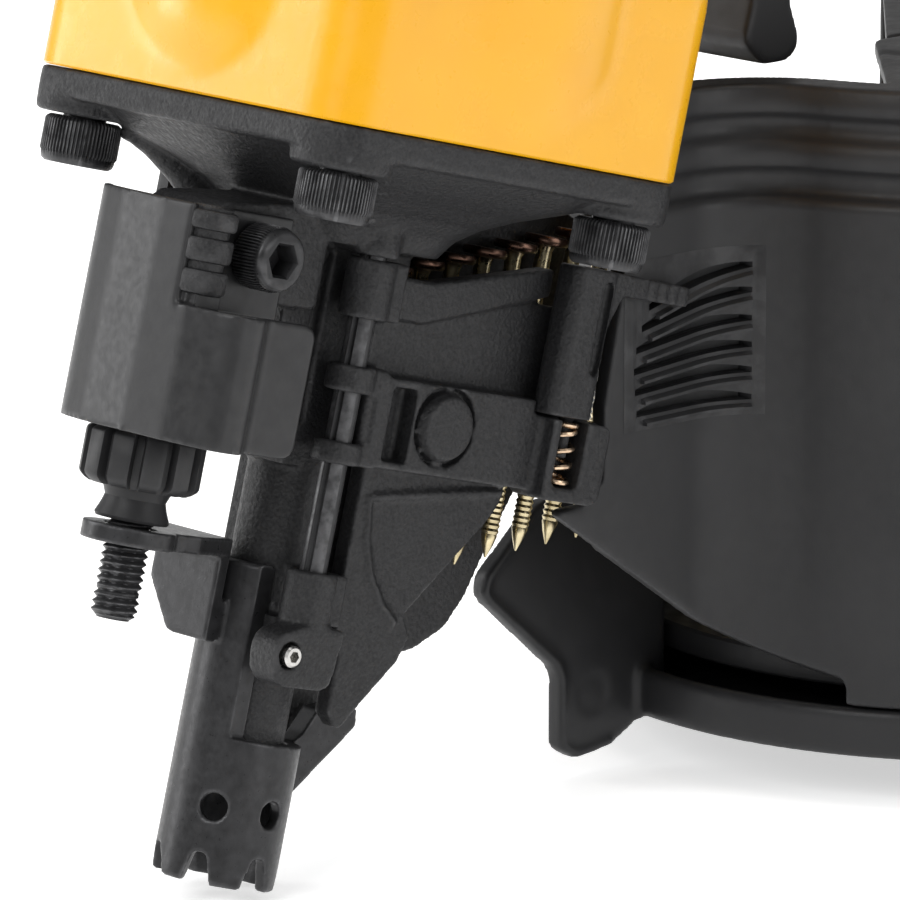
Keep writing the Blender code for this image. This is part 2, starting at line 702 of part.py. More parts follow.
def nail_coil(frame):
    low = PLATFORM_Z + 4.2
    section = [(COIL_BORE_R, low), (COIL_R, low), (COIL_R, low + 41.5), (COIL_BORE_R, low + 41.5)]
    finish(hollow_turned(section, 24, (CAN_X, 0)), "nail_coil", frame, "zinc_nail")


def nail_platform(frame):
    disc = hollow_turned([(POST_R + 0.4, PLATFORM_Z), (PLATFORM_R, PLATFORM_Z), (PLATFORM_R, PLATFORM_Z + 3.8),
                          (12, PLATFORM_Z + 3.8), (9, PLATFORM_Z + 26), (POST_R + 0.4, PLATFORM_Z + 26)],
                         24, (CAN_X, 0))
    finish(disc, "nail_platform", frame, "black_polymer")


# ---------------------------------------------------------------- canister

def cover_line(inset):
    """Plan of the cover's wall: flat cheek, hollow bend, then the drum up to its hinge."""
    reach = CAN_R + CHEEK_BEND
    drop = CHEEK_Y - CHEEK_BEND
    bend_x = CAN_X - math.sqrt(reach ** 2 - drop ** 2)
    turn = math.atan2(-drop, CAN_X - bend_x)
    line = [(CHEEK_X, CHEEK_Y + inset)]
    for i in range(6):
        angle = math.pi / 2 - (math.pi / 2 - turn) * i / 5
        radius = CHEEK_BEND + inset
        line.append((bend_x + radius * math.cos(angle), drop + radius * math.sin(angle)))
    start = math.pi + turn
    stop = math.radians(357)
    for i in range(1, 25):
        angle = start + (stop - start) * i / 24
        line.append((CAN_X + (CAN_R - inset) * math.cos(angle), (CAN_R - inset) * math.sin(angle)))
    return line


def canister_base(frame):
    centre = (CAN_X, 0)
    inner = CAN_R - CAN_WALL
    floor_top = CAN_FLOOR_Z + 3
    rim = [(inner, floor_top - 1), (inner, CAN_RIM_Z), (CAN_R, CAN_RIM_Z), (CAN_R, CAN_FLOOR_Z),
           (inner, CAN_FLOOR_Z)]
    base = hollow_turned(rim, 48, centre)
    join(base, pipe(inner + 1, CAN_FLOOR_Z + 0.2, floor_top, 44, centre))
    join(base, pipe(26, SOLE_Z, CAN_FLOOR_Z + 1, 28, centre))
    wall = [(inner + 0.1, 9), (CAN_R - 0.1, 9), (CAN_R - 0.1, CAN_TOP_Z), (inner + 0.1, CAN_TOP_Z)]
    join(base, hollow_turned(wall, 24, centre, 0.0, 168.75))
    lid = pipe(inner + 1, CAN_TOP_Z - 2.5, CAN_TOP_Z, 48, centre)
    cut(lid, box((CAN_X - 70, CAN_X + 70), (-70, GAP), (80, 100)))
    join(base, lid)
    cut(base, prism([(60, -GAP), (122, -GAP), (185, 62), (60, 62)], CAN_OPEN_Z, CAN_TOP_Z + 5))
    join(base, pipe(POST_R, floor_top - 1, 66, 16, centre))
    plate = [(66.5, 37.5), (56.5, 29), (55.7, 26.4), (57, 24.8), (69, 14.2), (70, 12.5), (70, 2.5), (73, 0.7),
             (80, 1.5), (86, CAN_FLOOR_Z), (90, CAN_FLOOR_Z), (90, 37.5)]
    join(base, prism(plate, 9.0, 11.5, "Y"))
    for low, high in ((20, 30), (70, 80)):
        join(base, pipe(4.5, low, high, 20, (COVER_PIN_X, 0)))
        join(base, box((CAN_X + inner + 0.5, COVER_PIN_X), (0.5, 4.2), (low, high)))
        cut(base, pipe(2.3, low - 1, high + 1, 14, (COVER_PIN_X, 0)))
    cut(base, pipe(M6_HOLE_R, CAN_TOP_Z - 4, CAN_TOP_Z + 1, 12, ARM_SCREW))
    finish(base, "canister_base", frame, "black_polymer")


def canister_cover(frame):
    """Wall along the cover's plan, slanted off below, with a lip and part of a lid on top."""
    low = CAN_RIM_Z + GAP
    cover = prism(cover_line(0) + cover_line(CAN_WALL)[::-1], low, CAN_TOP_Z)
    join(cover, prism(cover_line(0.5) + cover_line(7.0)[::-1], CAN_TOP_Z - 2.5, CAN_TOP_Z))
    lid = pipe(CAN_R - 1, CAN_TOP_Z - 2.5, CAN_TOP_Z, 48, (CAN_X, 0))
    cut(lid, box((CAN_X - 70, CAN_X + 70), (-GAP, 70), (80, 100)))
    cut(lid, prism([(70, 1), (121, 1), (94, -28), (70, -28)], 80, 100))
    join(cover, lid)
    cut(cover, prism([(50, 5), (50, 43), (CHEEK_X - 1, 36.3), (76.7, 23), (100, 9.5), (100, 5)], -25, 5, "Y"))
    cut(cover, prism([(50, 55), (CHEEK_X, 55), (62, 70), (64, 86), (64, 100), (50, 100)], -25, 5, "Y"))
    corner = [(50.2, 42.3), (51.5, 40.8), (CHEEK_X, 35.7), (CHEEK_X + 1, 40), (CHEEK_X + 1, 46), (55.5, 42.3)]
    join(cover, prism(corner, CHEEK_Y, CHEEK_Y + CAN_WALL, "Y"))
    join(cover, pipe(4.5, 30.4, 69.6, 20, (COVER_PIN_X, 0)))
    join(cover, box((CAN_X + CAN_R - CAN_WALL - 1.6, COVER_PIN_X), (-4.2, -1.4), (30.4, 69.6)))
    cut(cover, pipe(2.3, 29, 71, 14, (COVER_PIN_X, 0)))
    finish(cover, "canister_cover", frame, "black_polymer", (COVER_PIN_X, 0, 0))


def cover_pin(frame):
    finish(pipe(2.0, 19, 81, 14, (COVER_PIN_X, 0)), "cover_pin", frame, "bright_steel")


def magazine_arm(frame):
    arm = box((152, 184), (8, 26), (CAN_TOP_Z + GAP, ARM_PLATE_Z))
    foot_z = ARM_PLATE_Z - 1
    join(arm, prism([(158, foot_z), (182, foot_z), (226, 140), (226, 143.5), (204, 143.5)], 8, 12.5, "Y"))
    join(arm, box((204, 226), (-9, 12), (140, 143.5)))
    cut(arm, pipe(M6_HOLE_R, CAN_TOP_Z - 1, ARM_PLATE_Z + 1, 12, ARM_SCREW))
    cut(arm, pipe(M6_HOLE_R, 139, 145, 12, (215.0, 0)))
    finish(arm, "magazine_arm", frame, "black_casting")


def arm_screws(frame):
    upper = socket_screw(215.0, 0, 140 - GAP, 151, 5.0)
    finish(upper, "arm_screw_handle", frame, "black_oxide")
    lower = socket_screw(*ARM_SCREW, ARM_PLATE_Z + GAP, CAN_TOP_Z - 3.5, 5.0, True)
    finish(lower, "arm_screw_canister", frame, "black_oxide")


# ---------------------------------------------------------------- assembly

DRIVE_PARTS = (body_housing, handle_grip, top_cap, flange_screws, exhaust_deflector, deflector_screw,
               cylinder_liner, bumper, piston_driver, piston_ring, head_valve, head_valve_spring,
               nose_base, contact_foot, depth_wheel, wheel_clip, trip_arm, trip_spring, shield,
               shield_screw, pin_set_screw, hinge_pin, feed_door, door_latch, latch_spring,
               feed_cylinder, feed_piston)
STAND_PARTS = (handle_end, air_plug, trigger, trigger_pin, trigger_valve, valve_stem, nail_strip,
               nail_coil, nail_platform, canister_base, canister_cover, cover_pin, magazine_arm,
               arm_screws)


def empty_frame(name, lean):
    frame = bpy.data.objects.new(name, None)
    frame.empty_display_size = 0.03
    frame.location = (NOSE_X * MM, 0, NOSE_Z * MM)
    frame.rotation_euler = (0, lean, 0)
    bpy.context.collection.objects.link(frame)
    return frame


def main():
    clear_scene()
    drive_frame = empty_frame("drive_frame", TILT)
    stand_frame = empty_frame("stand_frame", 0.0)
    for make in DRIVE_PARTS:
        make(drive_frame)
    for make in STAND_PARTS:
        make(stand_frame)


main()
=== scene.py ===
"""Looks of the pneumatic coil nailer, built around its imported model.

Pieces are modelled in millimetres from the centre of the contact foot's tip, in one of
two frames, and their meshes are then taken to metres:
  LEANING  +Z runs up the drive axis, which leans back
  UPRIGHT  +Z is the axis of the drum magazine
+X points back to the handle's end and -Y is the side of the feed door.
"""

import json
import math

import bmesh
import bpy
from mathutils import Matrix, Vector


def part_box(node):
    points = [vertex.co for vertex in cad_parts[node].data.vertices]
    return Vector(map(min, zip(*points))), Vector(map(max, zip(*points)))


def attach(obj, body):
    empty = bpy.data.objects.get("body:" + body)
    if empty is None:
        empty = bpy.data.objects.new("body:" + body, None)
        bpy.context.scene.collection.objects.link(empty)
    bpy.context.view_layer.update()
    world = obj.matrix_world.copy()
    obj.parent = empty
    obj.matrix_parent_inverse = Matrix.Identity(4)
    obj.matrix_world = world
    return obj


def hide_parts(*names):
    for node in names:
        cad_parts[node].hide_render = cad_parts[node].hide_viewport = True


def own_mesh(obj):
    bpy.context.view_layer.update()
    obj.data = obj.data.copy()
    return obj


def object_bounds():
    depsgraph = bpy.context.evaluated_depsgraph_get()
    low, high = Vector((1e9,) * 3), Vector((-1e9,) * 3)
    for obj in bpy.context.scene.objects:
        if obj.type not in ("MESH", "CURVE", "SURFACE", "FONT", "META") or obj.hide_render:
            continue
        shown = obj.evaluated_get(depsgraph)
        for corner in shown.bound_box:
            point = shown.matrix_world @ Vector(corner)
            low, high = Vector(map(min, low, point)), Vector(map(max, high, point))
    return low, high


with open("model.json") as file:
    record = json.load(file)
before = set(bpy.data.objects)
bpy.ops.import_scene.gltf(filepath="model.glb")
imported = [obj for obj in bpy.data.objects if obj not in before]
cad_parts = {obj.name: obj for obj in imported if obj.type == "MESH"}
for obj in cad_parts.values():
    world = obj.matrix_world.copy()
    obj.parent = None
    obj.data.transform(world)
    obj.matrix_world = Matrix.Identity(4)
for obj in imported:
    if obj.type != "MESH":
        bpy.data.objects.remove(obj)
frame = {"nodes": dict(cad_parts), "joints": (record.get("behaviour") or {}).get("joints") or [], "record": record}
CAD_BOX = [list(corner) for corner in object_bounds()]

# ---------------------------------------------------------------- places and sizes

MM = 0.001
JOINTS = {joint["name"]: joint for joint in frame["joints"]}
TOP_OF_CAP = 255.0             # deflector's joint point above the tip, along the drive axis
DRIVE_AXIS = Vector(JOINTS["deflector_turn"]["axis"])
TIP = Vector(JOINTS["deflector_turn"]["pos_m"]) - DRIVE_AXIS * TOP_OF_CAP * MM
TILT = math.atan2(DRIVE_AXIS.x, DRIVE_AXIS.z)
UPRIGHT = Matrix.Translation(TIP) @ Matrix.Scale(MM, 4)
LEANING = Matrix.Translation(TIP) @ Matrix.Rotation(TILT, 4, "Y") @ Matrix.Scale(MM, 4)


def upright_mm(point):
    """A point of the row frame, in millimetres from the tip."""
    return (Vector(point) - TIP) / MM


# Driver unit and nose: half widths and radii, and heights along the drive axis.
BODY_HALF = 31.0
BODY_LOW = 98.7
BODY_HIGH = 222.0
CAP_TOP = 248.0
CORNER_R = 7.0
FLANGE_LOW = 92.9
NOSE_BOLT = 24.3
CAP_BOLT = 24.0
BORE_R = 27.0
CHANNEL_HALF = 3.6

# Small places on the nose and the feed door, in the leaning frame.
PIN_X, PIN_Y, PIN_R = -2.5, -10.2, 1.75
DOOR_KNUCKLES = ((56, 58.9), (65.2, 68.7), (74.7, 82.3))
KNUCKLE_R = 3.2
HINGE = (PIN_X, PIN_Y)
PIN_SCREW = (-6.7, 31.2)       # as X and Z, like the next two
SHIELD_SCREW = (-23, 80.3)
DOOR_DIAL = (13.6, 62.6)
STUD_X, STUD_Y, STUD_R = -26.6, -1.3, 3.0
STUD = (STUD_X, STUD_Y)
LATCH_X, LATCH_Y = 34.3, -12.8
SHEET = 1.2                    # thickness of the shield's sheet

TRIP_SPRING = (4.3, 27.6)      # plan place, leaning

# Nails. The head height runs along the drive axis, and the coil's radii lie in the drum's plan.
NAIL_LENGTH = 43.0
NAIL_R = 1.15
NAIL_HEAD_R = 3.0
NAIL_PITCH = 5.5
NAIL_HEAD_Z = 78.8
STRIP_NAILS = 11
# Heights where the painted reddish-brown reflection on the strip's nail heads sets in.
HEAD_REFLECTION_HEIGHTS = (0.0762, 0.0774) # heights in the row frame, in metres, where the brown sets in
COIL_INNER, COIL_OUTER = 41.6, 49.4
COIL_SPACING = 5.9

# Drum magazine and its cover, in the upright frame.
DRUM_X = 141.0
DRUM_AXIS = (DRUM_X, 0)
DRUM_R = 57.0
DRUM_WALL = 2.3
DRUM_TOP = upright_mm(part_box("canister_base")[1]).z
DRUM_FLOOR = 4.6
DRUM_RIM = 11.3
DRUM_OPEN = 68.0               # top of the wall on the driver unit's side
SOLE = upright_mm(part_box("canister_base")[0]).z
PLATFORM_TOP = 16.3
CHEEK_X, CHEEK_Y, CHEEK_BEND = 58.8, -11.2, 14.0   # front edge, face and bend radius
COVER_PIN_X = upright_mm(JOINTS["cover_swing"]["pos_m"]).x
COVER_PIN = (COVER_PIN_X, 0)
ARM_SCREW = (168.0, 19.0)      # on the drum's lid

# Handle and trigger, in the upright frame.
HANDLE_Z = 166.0
HANDLE_END = 242.0
HANDLE_START = 48.0
GRIP_START, GRIP_END = 114.0, 196.0
TRIGGER_X, TRIGGER_Z = 85.0, 141.5
TRIGGER_AXLE = (TRIGGER_X, TRIGGER_Z)
HANDLE_SCREW = (215.0, 0)      # holds the magazine arm


# ---------------------------------------------------------------- mesh tools

def mesh_object(bm):
    """A closed bmesh as an object whose faces point outward."""
    bmesh.ops.recalc_face_normals(bm, faces=bm.faces)
    mesh = bpy.data.meshes.new("solid")
    bm.to_mesh(mesh)
    bm.free()
    obj = bpy.data.objects.new("solid", mesh)
    bpy.context.collection.objects.link(obj)
    return obj


def loft(rings, closed=False):
    """Solid through rings with equal point counts, capped, or closed into a ring."""
    bm = bmesh.new()
    loops = [[bm.verts.new(point) for point in ring] for ring in rings]
    following = loops[1:] + loops[:1] if closed else loops[1:]
    for lower, upper in zip(loops, following):
        for i, start in enumerate(lower):
            j = (i + 1) % len(lower)
            bm.faces.new((start, lower[j], upper[j], upper[i]))
    if not closed:
        bm.faces.new(loops[0][::-1])
        bm.faces.new(loops[-1])
    return mesh_object(bm)


def circle(radius, sides, x=0.0, y=0.0):
    turn = 2 * math.pi / sides
    return [(x + radius * math.cos(turn * i), y + radius * math.sin(turn * i)) for i in range(sides)]


def rounded_rectangle(half_a, half_b, radius, steps=8):
    points = []
    for quarter in range(4):
        centre_a = (half_a - radius) * (1 if quarter in (0, 3) else -1)
        centre_b = (half_b - radius) * (1 if quarter < 2 else -1)
        for i in range(steps + 1):
            angle = math.pi / 2 * (quarter + i / steps)
            points.append((centre_a + radius * math.cos(angle), centre_b + radius * math.sin(angle)))
    return points


def corner_arc(start, here, end, steps):
    """Points of the curve that rounds a corner."""
    shares = [k / steps for k in range(steps + 1)]
    return [start * (1 - t) ** 2 + here * 2 * t * (1 - t) + end * t ** 2 for t in shares]


def rounded_outline(points, radius, steps=6):
    """Polygon with each corner turned into an arc of the radius that fits there."""
    out = []
    count = len(points)
    for i, point in enumerate(points):
        here = Vector(point[:2])
        limit = point[2] if len(point) > 2 else radius
        back = Vector(points[i - 1][:2]) - here
        ahead = Vector(points[(i + 1) % count][:2]) - here
        half = back.angle(ahead) / 2
        reach = min(limit / math.tan(half), back.length * 0.49, ahead.length * 0.49)
        if limit <= 0 or reach < 0.01:
            out.append(tuple(here))
            continue
        start = here + back.normalized() * reach
        end = here + ahead.normalized() * reach
        out += [tuple(point) for point in corner_arc(start, here, end, steps)]
    return out


def place(axis, a, b, depth):
    """Point of a flat outline drawn across the axis."""
    if axis == "X":
        return (depth, a, b)
    if axis == "Y":
        return (a, depth, b)
    return (a, b, depth)


def prism(outline, low, high, axis="Z"):
    return loft([[place(axis, a, b, depth) for a, b in outline] for depth in (low, high)])


def rounded_prism(points, radius, low, high, axis="Z"):
    return prism(rounded_outline(points, radius), low, high, axis)


def box(x, y, z):
    outline = [(x[0], y[0]), (x[1], y[0]), (x[1], y[1]), (x[0], y[1])]
    return prism(outline, z[0], z[1])


def turned(profile, sides=48, centre=(0.0, 0.0), axis="Z"):
    rings = []
    for radius, height in profile:
        rings.append([place(axis, a, b, height) for a, b in circle(radius, sides, *centre)])
    return loft(rings)


def pipe(radius, low, high, sides=48, centre=(0.0, 0.0), axis="Z"):
    return turned([(radius, low), (radius, high)], sides, centre, axis)


def hollow_turned(section, sides=64, centre=(0.0, 0.0), start=0.0, sweep=360.0):
    """Ring or part of one with the closed section given as (radius, height) points."""
    closed = sweep >= 360.0
    rings = []
    for i in range(sides if closed else sides + 1):
        angle = math.radians(start + sweep * i / sides)
        rings.append([(centre[0] + r * math.cos(angle), centre[1] + r * math.sin(angle), z)
                      for r, z in section])
    return loft(rings, closed)


def swept(points, radius, sides=10):
    """Round bar along a smooth list of points."""
    path = [Vector(p) for p in points]
    rings = []
    side = Vector((0, 0, 1))
    for i, point in enumerate(path):
        ahead = (path[min(i + 1, len(path) - 1)] - path[max(i - 1, 0)]).normalized()
        side = side - ahead * side.dot(ahead)
        if side.length < 0.1:
            side = ahead.orthogonal()
        side.normalize()
        other = ahead.cross(side)
        turn = 2 * math.pi / sides
        rings.append([point + (side * math.cos(turn * k) + other * math.sin(turn * k)) * radius
                      for k in range(sides)])
    return loft(rings)


def coil_points(x, y, low, high, radius, turns, per_turn=28):
    """Compression spring with one closed turn at each end."""
    count = int(turns * per_turn)
    points = []
    for i in range(count + 1):
        share = i / count
        eased = min(max((share * turns - 0.8) / (turns - 1.6), 0.0), 1.0)
        angle = 2 * math.pi * i / per_turn
        height = low + (high - low) * eased
        points.append((x + radius * math.cos(angle), y + radius * math.sin(angle), height))
    return points


def apply_modifiers(obj):
    graph = bpy.context.evaluated_depsgraph_get()
    result = bpy.data.meshes.new_from_object(obj.evaluated_get(graph))
    obj.modifiers.clear()
    obj.data = result
    return obj


def boolean(obj, tool, operation):
    modifier = obj.modifiers.new("step", "BOOLEAN")
    modifier.operation = operation
    modifier.solver = "EXACT"
    modifier.object = tool
    apply_modifiers(obj)
    bpy.data.objects.remove(tool, do_unlink=True)


def join(obj, *tools):
    for tool in tools:
        boolean(obj, tool, "UNION")
    return obj


def cut(obj, *tools):
    for tool in tools:
        boolean(obj, tool, "DIFFERENCE")
    return obj


def moved(obj, matrix):
    obj.data.transform(matrix)
    return obj


def shifted(obj, x=0.0, y=0.0, z=0.0):
    return moved(obj, Matrix.Translation((x, y, z)))


def turned_about(obj, angle, centre=(0.0, 0.0), axis="Z"):
    """Rotate about a line through (a, b), drawn across the axis."""
    middle = Vector(place(axis, *centre, 0.0))
    spin = Matrix.Rotation(math.radians(angle), 4, axis)
    return moved(obj, Matrix.Translation(middle) @ spin @ Matrix.Translation(-middle))


def cast(obj, voxel=0.5, rounds=3):
    """Soft moulded edges: remesh the solid finely, then relax it."""
    remesh = obj.modifiers.new("remesh", "REMESH")
    remesh.mode = "VOXEL"
    remesh.voxel_size = voxel
    relax = obj.modifiers.new("relax", "SMOOTH")
    relax.factor = 0.5
    relax.iterations = rounds
    apply_modifiers(obj)
    obj["soft_edges"] = True
    return obj


def bevelled(obj, width=0.3, segments=2, angle=35):
    """Broken edges on a machined or moulded piece."""
    edge = obj.modifiers.new("edge", "BEVEL")
    edge.width = width
    edge.segments = segments
    edge.limit_method = "ANGLE"
    edge.angle_limit = math.radians(angle)
    edge.harden_normals = False
    return apply_modifiers(obj)


def lean(obj):
    """Take a solid drawn upright into the leaning frame."""
    return moved(obj, Matrix.Rotation(-TILT, 4, "Y"))


def corners(offset):
    return [(-offset, -offset), (offset, -offset), (offset, offset), (-offset, offset)]


# ---------------------------------------------------------------- materials

class Shader:
    """Node tree of one Principled material, with short ways to add its nodes."""

    def __init__(self, name, colour, roughness, metallic=0.0, **inputs):
        self.material = bpy.data.materials.new(name)
        self.material.use_nodes = True
        self.tree = self.material.node_tree
        self.main = self.tree.nodes["Principled BSDF"]
        self.set(self.main, "Base Color", (*colour, 1.0))
        self.set(self.main, "Roughness", roughness)
        self.set(self.main, "Metallic", metallic)
        for key, value in inputs.items():
            self.set(self.main, key.replace("_", " "), value)
        self.place = self.add("ShaderNodeTexCoord").outputs["Object"]

    def add(self, kind, **settings):
        node = self.tree.nodes.new(kind)
        for key, value in settings.items():
            setattr(node, key, value)
        return node

    def set(self, node, socket, value):
        """Give a socket a constant, or link an output to it."""
        target = node.inputs[socket]
        if isinstance(value, bpy.types.NodeSocket):
            self.tree.links.new(value, target)
        else:
            target.default_value = value

    def noise(self, scale, detail=3.0, roughness=0.55, stretch=None):
        """Noise at a scale per metre, drawn out along an axis by stretch."""
        source = self.place
        if stretch:
            mapping = self.add("ShaderNodeMapping")
            self.set(mapping, "Vector", self.place)
            self.set(mapping, "Scale", stretch)
            source = mapping.outputs["Vector"]
        node = self.add("ShaderNodeTexNoise")
        self.set(node, "Vector", source)
        self.set(node, "Scale", scale)
        self.set(node, "Detail", detail)
        self.set(node, "Roughness", roughness)
        return node.outputs["Fac"]

    def cells(self, scale):
        node = self.add("ShaderNodeTexVoronoi", feature="SMOOTH_F1")
        self.set(node, "Vector", self.place)
        self.set(node, "Scale", scale)
        self.set(node, "Smoothness", 0.6)
        return node.outputs["Distance"]

    def ramp(self, value, low, high, start=0.0, end=1.0):
        node = self.add("ShaderNodeMapRange")
        self.set(node, "Value", value)
        self.set(node, "From Min", low)
        self.set(node, "From Max", high)
        self.set(node, "To Min", start)
        self.set(node, "To Max", end)
        return node.outputs["Result"]

    def mix(self, share, first, second):
        node = self.add("ShaderNodeMix", data_type="RGBA")
        self.set(node, 0, share)
        for socket, colour in ((6, first), (7, second)):
            value = colour if isinstance(colour, bpy.types.NodeSocket) else (*colour, 1.0)
            self.set(node, socket, value)
        return node.outputs[2]

    def math(self, operation, first, second):
        node = self.add("ShaderNodeMath", operation=operation, use_clamp=False)
        self.set(node, 0, first)
        self.set(node, 1, second)
        return node.outputs[0]

    def colour(self, share, first, second):
        self.set(self.main, "Base Color", self.mix(share, first, second))

    def roughness(self, scale, detail, low, high):
        self.set(self.main, "Roughness", self.ramp(self.noise(scale, detail), 0.3, 0.7, low, high))

    def edges(self, low=0.52, high=0.6):
        """Share of wear on outer edges, from the curvature of the mesh."""
        return self.ramp(self.add("ShaderNodeNewGeometry").outputs["Pointiness"], low, high)

    def bump(self, height, strength, distance, under=None):
        node = self.add("ShaderNodeBump")
        self.set(node, "Height", height)
        self.set(node, "Strength", strength)
        self.set(node, "Distance", distance)
        if under is not None:
            self.set(node, "Normal", under)
        return node.outputs["Normal"]


def yellow_paint():
    s = Shader("yellow_paint", (0.8, 0.39, 0.0), 0.3, Coat_Weight=0.2, Coat_Roughness=0.12)
    tone = s.ramp(s.noise(45, 2), 0.35, 0.65)
    s.colour(tone, (0.76, 0.36, 0.0), (0.80, 0.40, 0.0))
    s.roughness(300, 4, 0.24, 0.36)
    s.set(s.main, "Normal", s.bump(s.noise(700, 2), 0.12, 0.0002))
    return s.material


def black_casting():
    """Coarse blasted and painted die casting with rubbed edges."""
    s = Shader("black_casting", (0.02, 0.02, 0.021), 0.5, 0.1, Specular_IOR_Level=0.3)
    grain = s.noise(2300, 3, 0.6)
    pits = s.cells(1500)
    tone = s.mix(s.ramp(grain, 0.3, 0.7), (0.010, 0.010, 0.011), (0.026, 0.026, 0.027))
    wear = s.math("MULTIPLY", s.edges(0.515, 0.58), s.ramp(s.noise(260, 4), 0.42, 0.62))
    s.colour(wear, tone, (0.06, 0.06, 0.062))
    s.roughness(1200, 3, 0.36, 0.58)
    s.set(s.main, "Normal", s.bump(pits, 0.35, 0.00018, s.bump(grain, 0.55, 0.0002)))
    return s.material


def black_polymer():
    """Glass-filled nylon with a fine matt grain."""
    s = Shader("black_polymer", (0.018, 0.018, 0.019), 0.45, Specular_IOR_Level=0.3)
    broad = s.ramp(s.noise(30, 3), 0.3, 0.7)
    tone = s.mix(broad, (0.014, 0.014, 0.015), (0.020, 0.020, 0.021))
    wear = s.math("MULTIPLY", s.edges(0.52, 0.6), s.ramp(s.noise(300, 4), 0.45, 0.65, 0.0, 0.5))
    s.colour(wear, tone, (0.05, 0.05, 0.052))
    s.roughness(500, 5, 0.38, 0.5)
    s.set(s.main, "Normal", s.bump(s.noise(4200, 2), 0.16, 0.00008))
    return s.material


def black_sheet():
    """Blackened sheet steel, smooth and slightly mottled."""
    s = Shader("black_sheet", (0.02, 0.02, 0.021), 0.36, 0.2, Specular_IOR_Level=0.35)
    mottle = s.ramp(s.noise(420, 5), 0.3, 0.7)
    s.colour(mottle, (0.018, 0.018, 0.019), (0.027, 0.027, 0.028))
    s.roughness(900, 4, 0.3, 0.42)
    s.set(s.main, "Normal", s.bump(s.noise(2600, 3), 0.08, 0.0001))
    return s.material


def black_oxide():
    """Oiled black oxide on hardened screws and the contact foot."""
    s = Shader("black_oxide", (0.03, 0.03, 0.032), 0.34, 0.4, Specular_IOR_Level=0.35)
    wear = s.math("MULTIPLY", s.edges(0.51, 0.58), s.ramp(s.noise(500, 4), 0.35, 0.6))
    tone = s.mix(s.ramp(s.noise(600, 4), 0.3, 0.7), (0.02, 0.02, 0.021), (0.036, 0.036, 0.038))
    s.colour(wear, tone, (0.11, 0.11, 0.114))
    s.roughness(1500, 3, 0.27, 0.42)
    s.set(s.main, "Normal", s.bump(s.noise(3200, 2), 0.1, 0.0001))
    return s.material


def metal(name, dark, light, low, high, scale=900, stretch=None):
    s = Shader(name, light, low, 1.0)
    tone = s.ramp(s.noise(scale, 4, 0.6, stretch), 0.3, 0.7)
    s.colour(tone, dark, light)
    s.set(s.main, "Roughness", s.ramp(s.noise(scale * 1.7, 3, 0.5, stretch), 0.3, 0.7, low, high))
    s.set(s.main, "Normal", s.bump(s.noise(scale * 3, 2, 0.5, stretch), 0.08, 0.0001))
    return s.material


def zinc_nail():
    """Yellow zinc on ringed nails, with a painted reddish-brown reflection at the heads of the strip in the feed.
    """
    s = Shader("zinc_nail", (0.8, 0.7, 0.45), 0.28, 1.0)
    tone = s.mix(s.ramp(s.noise(450, 4), 0.3, 0.7), (0.46, 0.38, 0.22), (0.78, 0.68, 0.44))
    parts = s.add("ShaderNodeSeparateXYZ")
    s.set(parts, "Vector", s.place)
    # Painted reflection: the colour turns reddish brown over the nail heads above these heights.
    heads = s.ramp(parts.outputs["Z"], *HEAD_REFLECTION_HEIGHTS)
    s.colour(heads, tone, (0.13, 0.075, 0.055))
    s.roughness(800, 3, 0.22, 0.36)
    return s.material


def rubber():
    s = Shader("rubber", (0.018, 0.018, 0.019), 0.75)
    dust = s.ramp(s.noise(240, 5), 0.5, 0.75)
    s.colour(dust, (0.016, 0.016, 0.017), (0.035, 0.034, 0.033))
    s.roughness(800, 3, 0.62, 0.85)
    s.set(s.main, "Normal", s.bump(s.cells(900), 0.5, 0.0002))
    return s.material


FINISHES = {
    "yellow_paint": yellow_paint(),
    "black_casting": black_casting(),
    "black_polymer": black_polymer(),
    "black_sheet": black_sheet(),
    "black_oxide": black_oxide(),
    "bright_steel": metal("bright_steel", (0.42, 0.41, 0.40), (0.62, 0.61, 0.59), 0.2, 0.34, 700),
    "spring_steel": metal("spring_steel", (0.42, 0.30, 0.21), (0.78, 0.58, 0.40), 0.18, 0.3, 1200),
    "zinc_nail": zinc_nail(),
    "aluminium": metal("aluminium", (0.6, 0.61, 0.63), (0.76, 0.77, 0.79), 0.28, 0.4, 800, (1, 1, 0.1)),
    "rubber": rubber(),
}


def show(obj, name, body, finish, where, *nodes):
    """Take a finished piece to its place, give it its finish and let it ride."""
    obj.name = name
    obj.data.name = name
    obj.data.transform(where)
    obj.data.materials.clear()
    obj.data.materials.append(FINISHES[finish])
    obj.data.shade_smooth()
    if "soft_edges" not in obj:
        obj.data.set_sharp_from_angle(angle=math.radians(38))
    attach(obj, body)
    if nodes:
        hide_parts(*nodes)
    return obj


# ---------------------------------------------------------------- driver unit

def square_reach(angle, half, radius):
    """Distance from the axis to a rounded square's edge in the given direction."""
    c, s = abs(math.cos(angle)), abs(math.sin(angle))
    flat = half / max(c, s)
    inner = half - radius
    if min(c, s) * flat <= inner:
        return flat
    along = inner * (c + s)
    return along + math.sqrt(max(along * along - 2 * inner * inner + radius * radius, 0.0))


def ease(low, high, value):
    t = min(max((value - low) / (high - low), 0.0), 1.0)
    return t * t * (3 - 2 * t)


def blend_max(a, b, softness):
    gap = max(softness - abs(a - b), 0.0) / softness
    return max(a, b) + gap * gap * softness / 4


def polar_ring(z, reach, count=192):
    step = 2 * math.pi / count
    return [(reach(step * i) * math.cos(step * i), reach(step * i) * math.sin(step * i), z)
            for i in range(count)]


def square_ring(z, half, radius, count):
    return polar_ring(z, lambda angle: square_reach(angle, half, radius), count)


def body_reach(z):
    """Barrel with four screw columns that stand out at both flanges."""
    shrink = 9.0 * ease(122, 150, z) * (1 - ease(190, 207, z))
    barrel = 29.0 + 4.4 * math.sqrt(ease(BODY_LOW - 1, 112, z))
    half = BODY_HALF - shrink + 2.3 * ease(196, 210, z)

    def reach(angle):
        return blend_max(square_reach(angle, half, CORNER_R), barrel, 0.8)
    return reach


